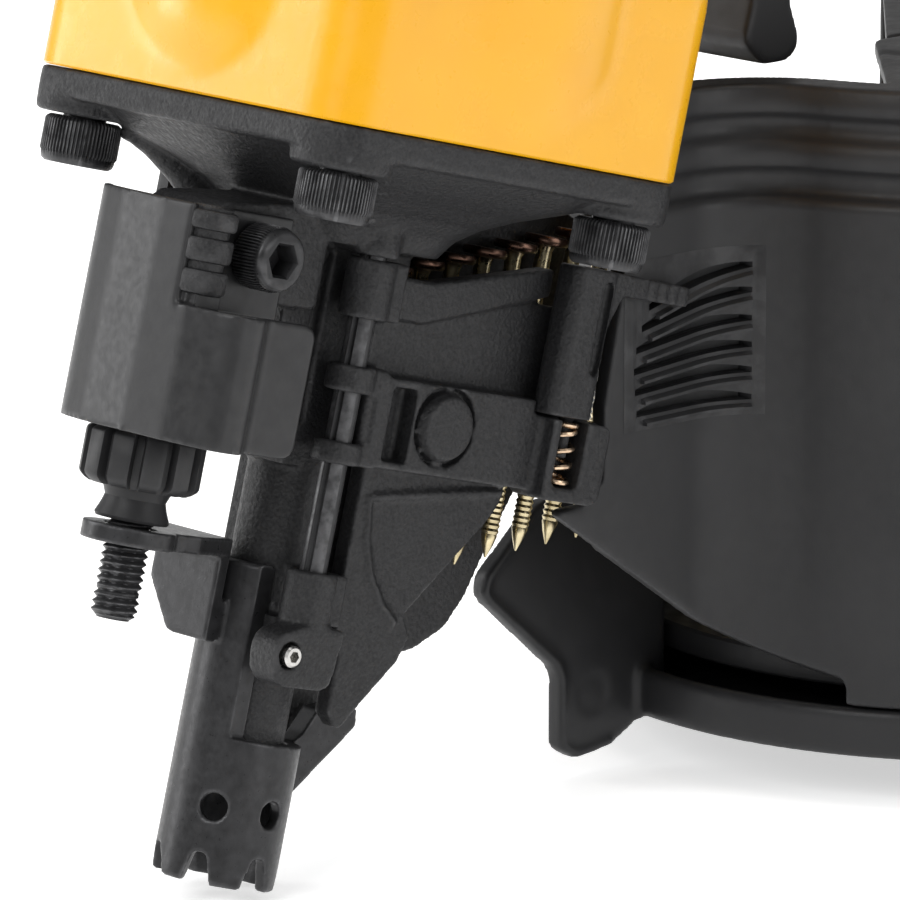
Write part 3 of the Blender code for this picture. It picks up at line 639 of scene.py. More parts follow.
def handle_ring(x, grow):
    """Handle's outline across X, fullest at both ends and grown by a set amount."""
    swell = 2.0 * (2 * (x - HANDLE_START) / (HANDLE_END - HANDLE_START) - 1) ** 2
    outline = rounded_rectangle(15.0 + swell + grow, 18.0 + swell + grow, 13.0 + grow, 10)
    return [(x, y, HANDLE_Z + z) for y, z in outline]


def handle_tube(grow, start_x, end_x, stations=24):
    rings = []
    for i in range(stations):
        share = i / (stations - 1)
        x = start_x + (end_x - start_x) * share
        rings.append(handle_ring(x, grow))
    return loft(rings)


def body_housing():
    heights = [BODY_LOW, BODY_LOW + 0.3] + [99.4 + 0.7 * i for i in range(30)]
    heights += [121 + 3.0 * i for i in range(33)] + [BODY_HIGH - 0.4, BODY_HIGH]
    rings = []
    for i, z in enumerate(heights):
        inset = 0.35 if i in (0, len(heights) - 1) else 0.0
        reach = body_reach(z)
        rings.append(polar_ring(z, lambda angle: reach(angle) - inset))
    body = loft(rings)
    join(body, lean(handle_tube(0.0, 40.0, HANDLE_END)))
    for side in (-1, 1):
        near, far = sorted((side * 8.0, side * 11.5))
        ear = prism(rounded_rectangle(8.0, 8.0, 4.0, 8), near, far, "Y")
        join(body, lean(shifted(ear, TRIGGER_X, 0, TRIGGER_Z + 4.5)))
    cut(body, pipe(BORE_R, 98, 223, 64))
    cut(body, lean(handle_tube(-3.5, 52.0, HANDLE_END + 1)))
    for bolt, low, high in ((NOSE_BOLT, 98, 116), (CAP_BOLT, 206, 223)):
        for x, y in corners(bolt):
            cut(body, pipe(3.2, low, high, 24, (x, y)))
    cut(body, lean(pipe(2.4, -13, 13, 24, TRIGGER_AXLE, "Y")))
    cut(body, lean(pipe(6.4, 140, 156, 32, (104.0, 0))))
    cut(body, lean(pipe(3.2, 130, 153, 24, HANDLE_SCREW)))
    show(body, "painted_housing", "tool", "yellow_paint", LEANING, "body_housing")


def handle_grip():
    """Rubber sleeve with end beads and rows of grip bars down both sides."""
    rings = []
    stations = 120
    for i in range(stations + 1):
        x = GRIP_START + (GRIP_END - GRIP_START) * i / stations
        bead = 0.9 * (1 - ease(1.5, 4.0, min(x - GRIP_START, GRIP_END - x)))
        along = x - GRIP_START
        ridge = 0.45 * max(0.0, math.cos(along * 2 * math.pi / 5.0)) if 6 < along < 76 else 0.0
        grow = 1.9 + bead + ridge
        rings.append(handle_ring(x, grow))
    sleeve = loft(rings)
    cut(sleeve, handle_tube(0.3, 100.0, 210.0))
    show(sleeve, "grip_sleeve", "tool", "rubber", UPRIGHT, "handle_grip")


def top_cap():
    low = BODY_HIGH + 0.3
    rings = []
    for z, half, radius in ((low, 33.0, 8.5), (low + 0.5, 33.3, 8.5), (234, 33.3, 8.5), (236.5, 32.8, 9.0),
                            (238.2, 31.4, 10.0), (239, 29.0, 14.0), (240, 27.6, 20.0), (243, 26.8, 22.0),
                            (246, 25.6, 22.5), (247.4, 24.2, 22.0), (CAP_TOP, 22.0, 20.0)):
        rings.append(square_ring(z, half, radius, 160))
    cap = loft(rings)
    cut(cap, pipe(24.5, low - 1, 238, 64))
    cut(cap, pipe(2.7, 230, 250, 24))
    for x, y in corners(CAP_BOLT):
        cut(cap, pipe(3.2, low - 1, 250, 24, (x, y)))
        cut(cap, pipe(5.4, 237, 250, 36, (x, y)))
    for angle in (45, 135, 225, 315):
        spot = (12.5 * math.cos(math.radians(angle)), 12.5 * math.sin(math.radians(angle)))
        cut(cap, pipe(3.6, 230, 250, 24, spot))
    show(cast(cap, 0.6, 2), "cylinder_cap", "tool", "black_casting", LEANING, "top_cap")


def socket_screw(x, y, seat, shank_end, head_height=6.0, up=False, radius=5.0):
    """Socket head cap screw along Z with a straight knurl round its head."""
    way = 1 if up else -1
    crown = seat + way * head_height
    teeth = 60
    rings = []
    for share, shrink, knurl in ((0.0, 0.45, 0), (0.06, 0.1, 1), (0.1, 0.0, 1), (0.74, 0.0, 1),
                                 (0.8, 0.12, 0.3), (0.86, 0.1, 0), (0.94, 0.25, 0), (1.0, 0.7, 0)):
        ring = []
        for i in range(teeth * 4):
            angle = 2 * math.pi * i / (teeth * 4)
            tooth = 0.14 * knurl * (1 if i % 4 in (0, 1) else -1)
            reach = radius - 0.14 - shrink + tooth
            ring.append((x + reach * math.cos(angle), y + reach * math.sin(angle),
                         seat + way * head_height * share))
        rings.append(ring)
    head = loft(rings)
    join(head, pipe(radius * 0.56, *sorted((shank_end, seat + way)), 24, (x, y)))
    floor = crown - way * 3.2
    lip = crown - way * 0.45
    profile = [(radius * 0.52, floor), (radius * 0.52, lip), (radius * 0.64, crown + way * 0.2)]
    socket = turned(profile, 6, (x, y))
    cut(head, socket)
    return head


def flange_screws():
    names = ("front_left", "rear_left", "rear_right", "front_right")
    for name, (x, y) in zip(names, corners(NOSE_BOLT)):
        screw = socket_screw(x, y, FLANGE_LOW - 0.3, 114)
        show(screw, f"knurled_nose_screw_{name}", "tool", "black_oxide", LEANING, f"nose_screw_{name}")
    for name, (x, y) in zip(names, corners(CAP_BOLT)):
        screw = socket_screw(x, y, 237.3, 208, 5.5, True)
        show(screw, f"knurled_cap_screw_{name}", "tool", "black_oxide", LEANING, f"cap_screw_{name}")


def head_valve_spring():
    spring = swept(coil_points(0, 0, 218.6, 236.4, 15.0, 4), 1.1, 10)
    show(spring, "valve_return_spring", "tool", "spring_steel", LEANING, "head_valve_spring")
    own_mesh(spring)


def exhaust_deflector():
    low = CAP_TOP + 0.3
    hood = turned([(20.6, low), (21, low + 0.4), (21, 259.4), (20.6, 261.4), (19.4, 263.4), (17, 265),
                   (14, 265.8), (10, 266)], 96)
    cut(hood, hollow_turned([(5.5, low - 1), (18, low - 1), (18, 261), (5.5, 261)], 72))
    for height in (250.4, 253.2, 256.0):
        cut(hood, shifted(prism(rounded_rectangle(12.0, 0.95, 0.9, 6), -24, -10, "X"), z=height + 0.6))
    for i in range(24):
        groove = pipe(0.8, low + 1.5, 262, 12, (21.3, 0))
        if 9 <= i <= 15:
            bpy.data.objects.remove(groove, do_unlink=True)
            continue
        cut(hood, turned_about(groove, 15 * i))
    cut(hood, pipe(2.9, low - 1, 268, 24))
    show(hood, "exhaust_hood", "exhaust_deflector", "black_polymer", LEANING, "exhaust_deflector")
    base = 266.3
    screw = turned([(2.3, 242), (2.3, base), (4.3, base), (4.6, base + 0.3), (4.6, base + 2.2),
                    (4.2, base + 3.0), (3.2, base + 3.6)], 48)
    cut(screw, pipe(1.9, base + 1.4, base + 5, 6))
    show(screw, "hood_screw", "tool", "bright_steel", LEANING, "deflector_screw")


def handle_end():
    rings = []
    for x, grow in ((HANDLE_END + 0.3, -0.3), (HANDLE_END + 0.7, 0.0), (HANDLE_END + 6.4, 0.0),
                    (HANDLE_END + 7.5, -0.7), (HANDLE_END + 8.0, -1.8)):
        outline = rounded_rectangle(17 + grow, 20 + grow, 13 + grow, 12)
        rings.append([(x, y, HANDLE_Z + z) for y, z in outline])
    cover = loft(rings)
    cut(cover, pipe(6.6, HANDLE_END - 1, HANDLE_END + 9, 48, (0, HANDLE_Z), "X"))
    show(cast(cover, 0.6, 2), "air_inlet_cover", "tool", "black_casting", UPRIGHT, "handle_end_cap")
    face = HANDLE_END + 8.3
    hexagon = [(8.0, face), (8.9, face + 0.7), (8.9, face + 5.3), (8.0, face + 6)]
    plug = turned(hexagon, 6, (0, HANDLE_Z), "X")
    profile = [(6.2, HANDLE_END - 6), (6.2, face + 1), (5.4, face + 5), (5.2, face + 6.5),
               (5.2, face + 13), (6.2, face + 15.4), (6.4, face + 16), (6.4, face + 18.6),
               (5.9, face + 20.2), (5.4, face + 21)]
    join(plug, turned(profile, 64, (0, HANDLE_Z), "X"))
    cut(plug, pipe(3.0, HANDLE_END - 7, face + 22, 40, (0, HANDLE_Z), "X"))
    show(bevelled(plug, 0.15), "air_coupling_plug", "tool", "bright_steel", UPRIGHT, "air_plug")


def trigger():
    outline = [(81, 145), (88.5, 145.5), (91, 141), (109, 141), (112, 138), (108, 133), (102, 129),
               (99.0, 120), (97.6, 110), (96.9, 103.5), (98.9, 98.0), (96.8, 95.7), (91.5, 95.7),
               (88.2, 99.2), (89.9, 104.5), (88.6, 112), (85, 125), (80.5, 138)]
    lever = prism(rounded_outline(outline, 3.0, 8), -7, 7, "Y")
    cut(lever, pipe(2.3, -8, 8, 32, TRIGGER_AXLE, "Y"))
    for side in (-1, 1):
        window = rounded_prism([(92, 112), (96.5, 112), (96.0, 128), (89.5, 134), (87.5, 128)], 1.6,
                               *sorted((side * 5.6, side * 8)), "Y")
        cut(lever, window)
    show(cast(lever, 0.45, 6), "trigger_lever", "trigger", "black_polymer", UPRIGHT, "trigger")
    pin = turned([(1.7, -11.8), (2.0, -11.4), (2.0, 11.4), (1.7, 11.8)], 32, TRIGGER_AXLE, "Y")
    show(pin, "trigger_axle", "tool", "bright_steel", UPRIGHT, "trigger_pin")


# ---------------------------------------------------------------- nose

def diagonal_rib(x_way, y_way):
    """Cast web that runs from a screw boss down to the nose column, short over the trip arm."""
    points = [(20.6, 93.2), (19.2, 92.6), (17.4, 91.2), (14.8, 88.4), (12.4, 85.0)]
    if x_way < 0:
        points += [(10.4, 81.5), (8.6, 77.0)]
    return swept([(x_way * reach, y_way * reach, z) for reach, z in points], 2.1, 12)


def nose_base():
    plate = loft([square_ring(z, BODY_HALF + grow, CORNER_R, 96)
                  for z, grow in ((94.9, -0.6), (95.3, 0.0), (98.6, 0.0))])
    solids = []
    for x, y in corners(NOSE_BOLT):
        solids.append(turned([(6.1, FLANGE_LOW), (6.5, FLANGE_LOW + 0.5), (6.6, 97)], 40, (x, y)))
    bowl = [(96.2, 28.5, 9), (95.0, 27.6, 9), (93.8, 25.6, 9), (92.0, 22.2, 9), (90.2, 18.4, 8.5),
            (88.2, 15.0, 7.5), (86.0, 12.6, 7), (83.5, 11.2, 6.5)]
    solids.append(loft([square_ring(z, half, radius, 96)
                        for z, half, radius in bowl[::-1]]))
    join(plate, *solids)
    for x, y in corners(NOSE_BOLT):
        cut(plate, pipe(3.25, FLANGE_LOW - 2, 99.7, 26, (x, y)))
    solids = [diagonal_rib(a, b) for a, b in ((-1, 1), (1, 1))]
    solids.append(box((-11.5, 9), (-5.3, 8), (57, 90)))
    solids.append(box((-7.0, 0), (-5.1, 5.0), (54.6, 60)))
    solids.append(rounded_prism([(-29, 74.5), (-9, 74.5), (-9, 88), (-20, 87), (-27, 86.2), (-29, 84.5)],
                                1.5, -8.6, 5, "Y"))
    solids.append(turned([(5.2, 13), (5.7, 13.6), (5.7, 58)], 48))
    solids.append(box((-2.2, 8.8), (-5.1, 7.8), (32.5, 58)))
    wing = [(5, 92, 0), (46, 92, 2), (46, 60, 4), (41, 47, 3), (38.7, 40.2, 2.5), (36, 35.5, 3),
            (31.1, 32.2, 4), (26.7, 30.8, 4), (21.2, 24.9, 2), (13.5, 18, 1), (10.3, 18, 0.6),
            (10.3, 33, 0), (5, 33, 0)]
    solids.append(rounded_prism(wing, 3.0, CHANNEL_HALF + 0.1, 8.5, "Y"))
    solids.append(turned([(2.9, 82.7), (KNUCKLE_R, 83.0), (KNUCKLE_R, 86.6), (2.9, 87)], 40, HINGE))
    solids.append(box((PIN_X - 3, PIN_X + 3), (PIN_Y, -4), (82.9, 89)))
    solids.append(turned([(3.0, 35), (3.35, 35.3), (3.35, 41.7), (3.0, 42)], 40, HINGE))
    solids.append(box((-2.4, 4), (PIN_Y, -4), (35.2, 41.8)))
    solids.append(rounded_prism([(-9.2, 29, 2.8), (-7.5, 27.2, 2.5), (1.0, 27.2, 2.2), (2.0, 35.2, 0.4),
                                 (-5, 35.2, 2.0), (-9.4, 33.6, 2.8)], 2.0, -13.6, -8.5, "Y"))
    solids.append(box((-4.2, 1.2), (-9, -4.6), (32.0, 35.3)))
    nose = join(plate, *solids)
    cut(nose, pipe(3.6, 12, 101, 40))
    cut(nose, box((0.6, 60), (0.1 - CHANNEL_HALF, CHANNEL_HALF - 0.1), (33.5, 90.5)))
    cut(nose, pipe(PIN_R + 0.3, 24, 88, 32, HINGE))
    cut(nose, pipe(1.75, -15, -8, 32, PIN_SCREW, "Y"))
    cut(nose, pipe(2.6, -9.5, 0, 32, SHIELD_SCREW, "Y"))
    cut(nose, shifted(prism(rounded_rectangle(6.3, 4.5, 1.0, 4), 2, 9, "Y"), 13.7, 0, 62))
    cut(nose, box((-6.4, -4.6), (-6.5, -3.6), (60.0, 82.5)))
    cut(nose, box((-10.4, -9.0), (-6.5, -4.2), (60.5, 72)))
    show(cast(nose, 0.42, 2), "nose_casting", "tool", "black_casting", LEANING, "nose_base")


def contact_foot():
    inner, outer = 6.1, 8.0
    section = [(inner, 0.3), (inner + 0.3, 0), (outer - 0.3, 0), (outer, 0.3), (outer, 41.1),
               (outer - 0.3, 41.4), (inner + 0.3, 41.4), (inner, 41.1)]
    foot = hollow_turned(section, 128)
    cut(foot, box((-3.2, 9), (-9, 9), (19, 43)), box((-9, 9), (-9, -4.8), (19, 43)))
    for angle, low_half, high_half, height in ((0, 2.4, 1.0, 4.2), (60, 3.4, 1.1, 3.8),
                                               (120, 2.2, 0.9, 4.0)):
        notch = rounded_prism([(-low_half, -1, 0), (low_half, -1, 0), (high_half, height, 0.8),
                               (-high_half, height, 0.8)], 0.8, -10, 10, "Y")
        cut(foot, turned_about(notch, angle))
    for angle in (215, 275):
        hole = shifted(pipe(1.8, 4, 10, 40, (0, 0), "X"), 0, 0, 10)
        cut(foot, turned_about(hole, angle))
    hook = [(7.3, 10, 0), (18.4, 21.8, 1.0), (18.2, 24.1, 1.0), (16.2, 24.8, 1.0), (11.4, 23.6, 0.6),
            (9.3, 20.0, 0.4), (7.3, 18.5, 0)]
    join(foot, rounded_prism(hook, 1.0, -1.6, 1.6, "Y"))
    join(foot, box((-9.5, -6.6), (-1.5, 6), (31, 36)))
    upright = rounded_prism([(-1.5, 30.6, 0), (-1.5, 43.9, 0), (11, 43.9, 0), (11, 37, 2), (6, 30.6, 2)],
                            1.5, -10.6, -8.8, "X")
    join(foot, upright)
    tongue = [(-26.6, -5.5, 1), (-17, -4.5, 2), (-8.8, -1.5, 1), (-8.8, 11, 1), (-17, 8, 3),
              (-26.6, 4.2, 1)]
    join(foot, rounded_prism(tongue, 1.0, 41.6, 43.9), pipe(6.0, 41.6, 43.9, 64, STUD))
    cut(foot, pipe(STUD_R + 0.3, 40, 45, 48, STUD))
    show(cast(foot, 0.3, 2), "foot_with_crown", "contact_foot", "black_oxide", LEANING, "contact_foot")


def depth_wheel():
    """Grip wheel with eleven broad lobes over a threaded stud."""
    lobes, per_lobe = 11, 16
    rings = []
    for z, shrink, depth in ((48.7, 1.4, 0.7), (49.0, 0.8, 1.1), (49.5, 0.2, 1.3), (49.9, 0.0, 1.3),
                             (55.1, 0.0, 1.3), (55.5, 0.2, 1.3), (55.9, 0.8, 1.1), (56.2, 1.4, 0.7)):
        ring = []
        for i in range(lobes * per_lobe):
            share = (i % per_lobe) / per_lobe
            valley = ease(0.62, 0.69, share) * (1 - ease(0.93, 1.0, share))
            reach = 7.7 - shrink - depth * valley
            angle = 2 * math.pi * i / (lobes * per_lobe)
            ring.append((STUD_X + reach * math.cos(angle), STUD_Y + reach * math.sin(angle), z))
        rings.append(ring)
    wheel = loft(rings)
    join(wheel,
         turned([(4.6, 44.6), (4.8, 45.0), (4.2, 46.4), (3.9, 47.4), (4.3, 48.4), (5.2, 49.4)], 64, STUD))
    join(wheel, turned([(3.0, 55), (3.0, 60.2), (2.7, 60.5)], 40, STUD))
    show(wheel, "grip_wheel", "depth_wheel", "black_polymer", LEANING, "depth_wheel")
    show(threaded_stud(32.0, 44.8), "threaded_stud", "depth_wheel", "black_oxide", LEANING)
    clip = hollow_turned([(3.15, 58.6), (5.1, 58.6), (5.2, 58.7), (5.2, 59.3), (5.1, 59.4), (3.15, 59.4)],
                         48, STUD, 30, 300)
    show(clip, "wheel_retaining_clip", "depth_wheel", "bright_steel", LEANING, "wheel_clip")


def threaded_stud(low, high, pitch=1.0, depth=0.55):
    """Stud whose surface follows a helix, with a plain chamfered end."""
    per_turn, rows_per_turn = 48, 10
    rows = int((high - low) / pitch * rows_per_turn)
    rings = []
    for row in range(rows + 1):
        z = low + (high - low) * row / rows
        ring = []
        for i in range(per_turn):
            angle = 2 * math.pi * i / per_turn
            phase = (z / pitch - i / per_turn) % 1.0
            crest = 1 - abs(2 * phase - 1)
            groove = ease(2.9, 3.3, z - low) * (1 - ease(3.9, 4.3, z - low))
            taper = 0.9 * (1 - ease(0.0, 0.9, z - low))
            reach = STUD_R - max(depth * (1 - crest), taper, 0.5 * depth * groove)
            ring.append((STUD_X + reach * math.cos(angle), STUD_Y + reach * math.sin(angle), z))
        rings.append(ring)
    return loft(rings)


def trip_arm():
    """Linkage from the depth wheel round the nose and up the far side to the trigger."""
    root = [(-31, -6, 1), (-21.5, -6, 1), (-21.5, 9.5, 2), (8, 9.5, 1), (8, 13, 1), (-25, 13, 4),
            (-31, 5, 3)]
    arm = rounded_prism(root, 1.5, 56.5, 58.3)
    strip = [(0.5, 67, 1), (8, 67, 1), (8, 126, 8), (50, 132, 1), (50, 137, 1), (0.5, 132, 8)]
    join(arm, rounded_prism(strip, 3.0, 34.0, 36.0, "Y"))
    join(arm, box((0.5, 8), (10, 12), (57, 69)), box((0.5, 8), (10, 35.9), (67, 69)))
    join(arm, box((42, 50), (8.3, 35), (132.7, 135)))
    cut(arm, pipe(STUD_R + 0.3, 55, 60, 32, STUD))
    show(bevelled(arm, 0.35, 3), "trip_linkage", "trip", "black_sheet", LEANING, "trip_arm")
    spring = swept(coil_points(*TRIP_SPRING, 70.0, 93.0, 3.0, 7.5), 0.55, 8)
    show(spring, "trip_return_spring", "tool", "spring_steel", LEANING, "trip_spring")
    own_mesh(spring)


def smooth_path(points, radius, steps=7):
    """Open path with its inner corners rounded."""
    out = [Vector(points[0])]
    for before, here, after in zip(points, points[1:], points[2:]):
        here, back, ahead = Vector(here), Vector(before) - Vector(here), Vector(after) - Vector(here)
        reach = min(radius / math.tan(back.angle(ahead) / 2), back.length * 0.49, ahead.length * 0.49)
        start, end = here + back.normalized() * reach, here + ahead.normalized() * reach
        out += corner_arc(start, here, end, steps)
    out.append(Vector(points[-1]))
    return out


def sheet_strip(points, radius, low, high, thickness=SHEET):
    path = smooth_path(points, radius)
    inner = []
    for i, point in enumerate(path):
        ahead = (path[min(i + 1, len(path) - 1)] - path[max(i - 1, 0)]).normalized()
        inner.append(point + Vector((-ahead.y, ahead.x)) * thickness)
    return prism([tuple(p) for p in path] + [tuple(p) for p in inner[::-1]], low, high)


def shield():
    """Bent guard plate: a curved front, a stepped tab in front of the door and a ribbed curl."""
    front = [(-31.0, 10.5), (-34.4, 7.0), (-36.1, 1.0), (-36.5, -7.0), (-36.2, -14.5), (-35.2, -20.0),
             (-33.2, -22.4), (-29.4, -22.4), (-26.4, -18.2), (-17, -18.2)]
    guard = sheet_strip(front, 12.0, 56, 73)
    for way, edge in ((1, 73.0), (-1, 56.0)):
        arc = [(-19.0 + 2.0 * math.sin(t / 8 * math.pi / 2),
                edge + way * 2.0 * (math.cos(t / 8 * math.pi / 2) - 1)) for t in range(9)]
        cut(guard,
            prism(arc + [(-16, edge - way * 2), (-16, edge + way), (-19, edge + way)], -20, -15, "Y"))
    join(guard, sheet_strip(front[:4] + [(-36.3, -12.5)], 12.0, 72, 85.5))
    join(guard, box((-36.0, -17), (-10.3, -9.0), (72.5, 85.5)))
    join(guard, box((-36.0, -32.8), (-12, -9.2), (72.5, 85.3)))
    join(guard, box((-35.0, -30.5), (-14.4, -10.0), (72.6, 74.8)))
    cut(guard, pipe(2.8, -11, -8, 32, SHIELD_SCREW, "Y"))
    show(cast(guard, 0.32, 4), "shield_plate", "tool", "black_sheet", LEANING, "shield")
    profile = [(2.2, 74.4)]
    for low, high in ((74.5, 77.6), (78.5, 81.6), (82.5, 85.0)):
        reach = 3.35
        profile += [(2.6, low), (reach - 0.2, low + 0.15), (reach, low + 0.5), (reach, high - 0.5),
                    (reach - 0.2, high - 0.15), (2.6, high)]
    profile += [(2.6, 85.3), (2.3, 85.6)]
    curl = turned(profile, 56, (-32.8, -12.3))
    show(curl, "shield_curl", "tool", "black_casting", LEANING)
    screw = socket_screw(0, 0, 0, 9.8, 5.4, False, 4.2)
    sideways = Matrix.Rotation(math.radians(-90), 4, "X")
    moved(screw, Matrix.Translation(place("Y", *SHIELD_SCREW, -10.6)) @ sideways)
    show(screw, "shield_cap_screw", "tool", "black_oxide", LEANING, "shield_screw")
    grub = turned([(1.15, -14.3), (1.4, -14.0), (1.4, -9.5)], 40, PIN_SCREW, "Y")
    cut(grub, turned([(0.8, -14.6), (0.72, -12.6)], 6, PIN_SCREW, "Y"))
    show(grub, "hinge_grub_screw", "tool", "bright_steel", LEANING, "pin_set_screw")


# ---------------------------------------------------------------- feed door

def raised_line(points):
    """Moulded bead along a line on the door's outer face."""
    return swept([(x, -8.85, z) for x, z in points], 0.6, 10)


def feed_door():
    door = box((1, 41), (-12.4, -8.5), (56.2, 67.9))
    skirt = [(4.4, 58, 0), (4.4, 36.2, 1), (6.2, 31.5, 1), (6.2, 24, 1), (8.5, 21.8, 1), (11.8, 26, 1.5),
             (16.5, 31.5, 2), (17.9, 35, 1.2), (16.2, 37.8, 1.2), (28.1, 51.6, 1.5), (29.5, 54, 1),
             (29.5, 58, 0)]
    rail = [(1.5, 75.2, 0), (9, 75.2, 2), (30.5, 81.2, 0), (30.5, 84.9, 0.5), (10, 80.6, 3), (1.5, 80.6, 0)]
    block = [(30.5, 55.4, 1), (41, 55.4, 2), (41, 66, 1.5), (30.5, 66, 0)]
    solids = [rounded_prism(block, 1.0, -15, -8.5, "Y"), box((1.2, 41), (-8.8, -6), (57, 80)),
              rounded_prism(skirt, 1.0, -8.8, -6, "Y"), rounded_prism(rail, 1.0, -9.6, -6.6, "Y"),
              raised_line([(29, 55.2), (18.3, 53.8), (6.4, 52.2)]),
              raised_line([(5.9, 52.1), (6.9, 46.4), (8.7, 42.2), (11.5, 38.7), (14.5, 36.5)]),
              box((-0.3, 2.4), (-11.8, -8.7), (56.2, 67.9))]
    for low, high in DOOR_KNUCKLES:
        solids.append(turned([(2.95, low), (KNUCKLE_R, low + 0.3), (KNUCKLE_R, high - 0.3), (2.95, high)],
                             40, HINGE))
        solids.append(box((PIN_X, 2.4), (-12.2, -8.7), (low, high)))
    solids.append(turned([(3.8, -13.5), (4.2, -13.1), (4.2, -12)], 64, DOOR_DIAL, "Y"))
    join(door, *solids)
    for low, high in DOOR_KNUCKLES:
        cut(door, pipe(PIN_R + 0.3, low - 1, high + 1, 32, HINGE))
    cut(door, box((3.6, 7.9), (-14, -9.4), (57.2, 66.8)))
    moat = hollow_turned([(4.5, 0), (5.3, 0), (5.3, 1.6), (4.5, 1.6)], 64)
    sideways = Matrix.Rotation(math.radians(90), 4, "X")
    moved(moat, Matrix.Translation(place("Y", *DOOR_DIAL, -10.9)) @ sideways)
    cut(door, moat)
    pocket = shifted(prism(rounded_rectangle(2.4, 6.0, 1.0, 6), -16, -10.4, "Y"), 34.3, 0, 63.2)
    cut(door, pocket, box((29, 42), (-16, -9.9), (66.1, 69)))
    show(cast(door, 0.36, 2), "door_casting", "feed_door", "black_casting", LEANING, "feed_door")
    pin = turned([(1.4, 27.6), (PIN_R, 28.0), (PIN_R, 86.2), (1.4, 86.6)], 40, HINGE)
    for angle in (200, 290):
        groove = pipe(0.5, 28.4, 85.8, 12, (PIN_X + PIN_R + 0.15, PIN_Y))
        cut(pin, turned_about(groove, angle, HINGE))
    show(pin, "hinge_rod", "tool", "black_oxide", LEANING, "hinge_pin")


def door_latch():
    post = shifted(prism(rounded_rectangle(3.9, 2.6, 2.0, 8), 66.4, 86), 33.2, LATCH_Y, 0)
    tab = [(31.5, 86, 0.4), (35, 86, 0.6), (51, 85.6, 0.6), (51, 83, 0.6), (39, 83, 1.0), (36, 76, 0.6),
           (31.5, 76, 0.4)]
    join(post, rounded_prism(tab, 0.6, -14.4, -11.6, "Y"))
    join(post, pipe(0.9, 61, 67, 20, (LATCH_X, LATCH_Y)))
    slot = shifted(prism(rounded_rectangle(1.2, 6.2, 1.1, 8), -17, -13.6, "Y"), 35.4, 0, 78.4)
    cut(post, slot)
    for x in (43.4, 45.3, 47.2, 49.1):
        cut(post, pipe(0.45, 82, 87, 16, (x, -14.6)))
    show(cast(post, 0.3, 2), "latch_casting", "door_latch", "black_casting", LEANING, "door_latch")
    spring = swept(coil_points(LATCH_X, LATCH_Y, 57.9, 65.4, 1.55, 5), 0.36, 8)
    show(spring, "latch_coil_spring", "feed_door", "spring_steel", LEANING, "latch_spring")


def feed_unit():
    centre = (15.5, 62)
    barrel = turned([(5.9, 20), (6.4, 20.5), (6.4, 45.5), (5.9, 46)], 64, centre, "X")
    join(barrel, shifted(prism(rounded_rectangle(7.0, 9.0, 1.5, 5), 8.8, 12, "Y"), 33, 0, 62))
    cut(barrel, pipe(4.6, 19, 43, 48, centre, "X"))
    show(cast(barrel, 0.45, 2), "feed_cylinder_casting", "tool", "black_casting", LEANING, "feed_cylinder")
    piston = turned([(4.0, 24), (4.3, 24.3), (4.3, 32.7), (4.0, 33)], 48, centre, "X")
    join(piston, pipe(2.0, 9, 25, 32, centre, "X"), box((8.6, 12), (1.9, 17), (59, 65)))
    show(bevelled(piston, 0.25), "feed_pawl_piston", "feed_piston", "bright_steel", LEANING, "feed_piston")


# ---------------------------------------------------------------- nails

def ring_nail(rings_per_mm=1.35):
    """One ring-shank nail along Z, its point at the origin, with a faceted tip."""
    profile = [(0.12, 0.0), (0.75, 1.7), (NAIL_R * 0.93, 3.0)]
    shank_end = NAIL_LENGTH - 9.0
    count = int((shank_end - 3.0) * rings_per_mm)
    step = (shank_end - 3.0) / count
    for i in range(count):
        z = 3.0 + step * i
        profile += [(NAIL_R * 0.87, z + step * 0.25), (NAIL_R * 1.04, z + step * 0.8),
                    (NAIL_R * 0.98, z + step)]
    profile += [(NAIL_R * 0.95, shank_end + 1), (NAIL_R * 0.95, NAIL_LENGTH - 2.0),
                (NAIL_R * 1.15, NAIL_LENGTH - 1.35), (NAIL_HEAD_R * 0.93, NAIL_LENGTH - 1.1),
                (NAIL_HEAD_R, NAIL_LENGTH - 0.8), (NAIL_HEAD_R, NAIL_LENGTH - 0.3),
                (NAIL_HEAD_R * 0.94, NAIL_LENGTH)]
    return turned(profile, 14)


def nails_at(places):
    """Copies of the nail at (x, y, z, lean) places, as one mesh of separate bodies."""
    pattern = ring_nail()
    bm = bmesh.new()
    for x, y, z, tilt in places:
        copy = pattern.data.copy()
        copy.transform(Matrix.Translation((x, y, z)) @ Matrix.Rotation(tilt, 4, "Y"))
        bm.from_mesh(copy)
        bpy.data.meshes.remove(copy)
    bpy.data.objects.remove(pattern, do_unlink=True)
    return mesh_object(bm)


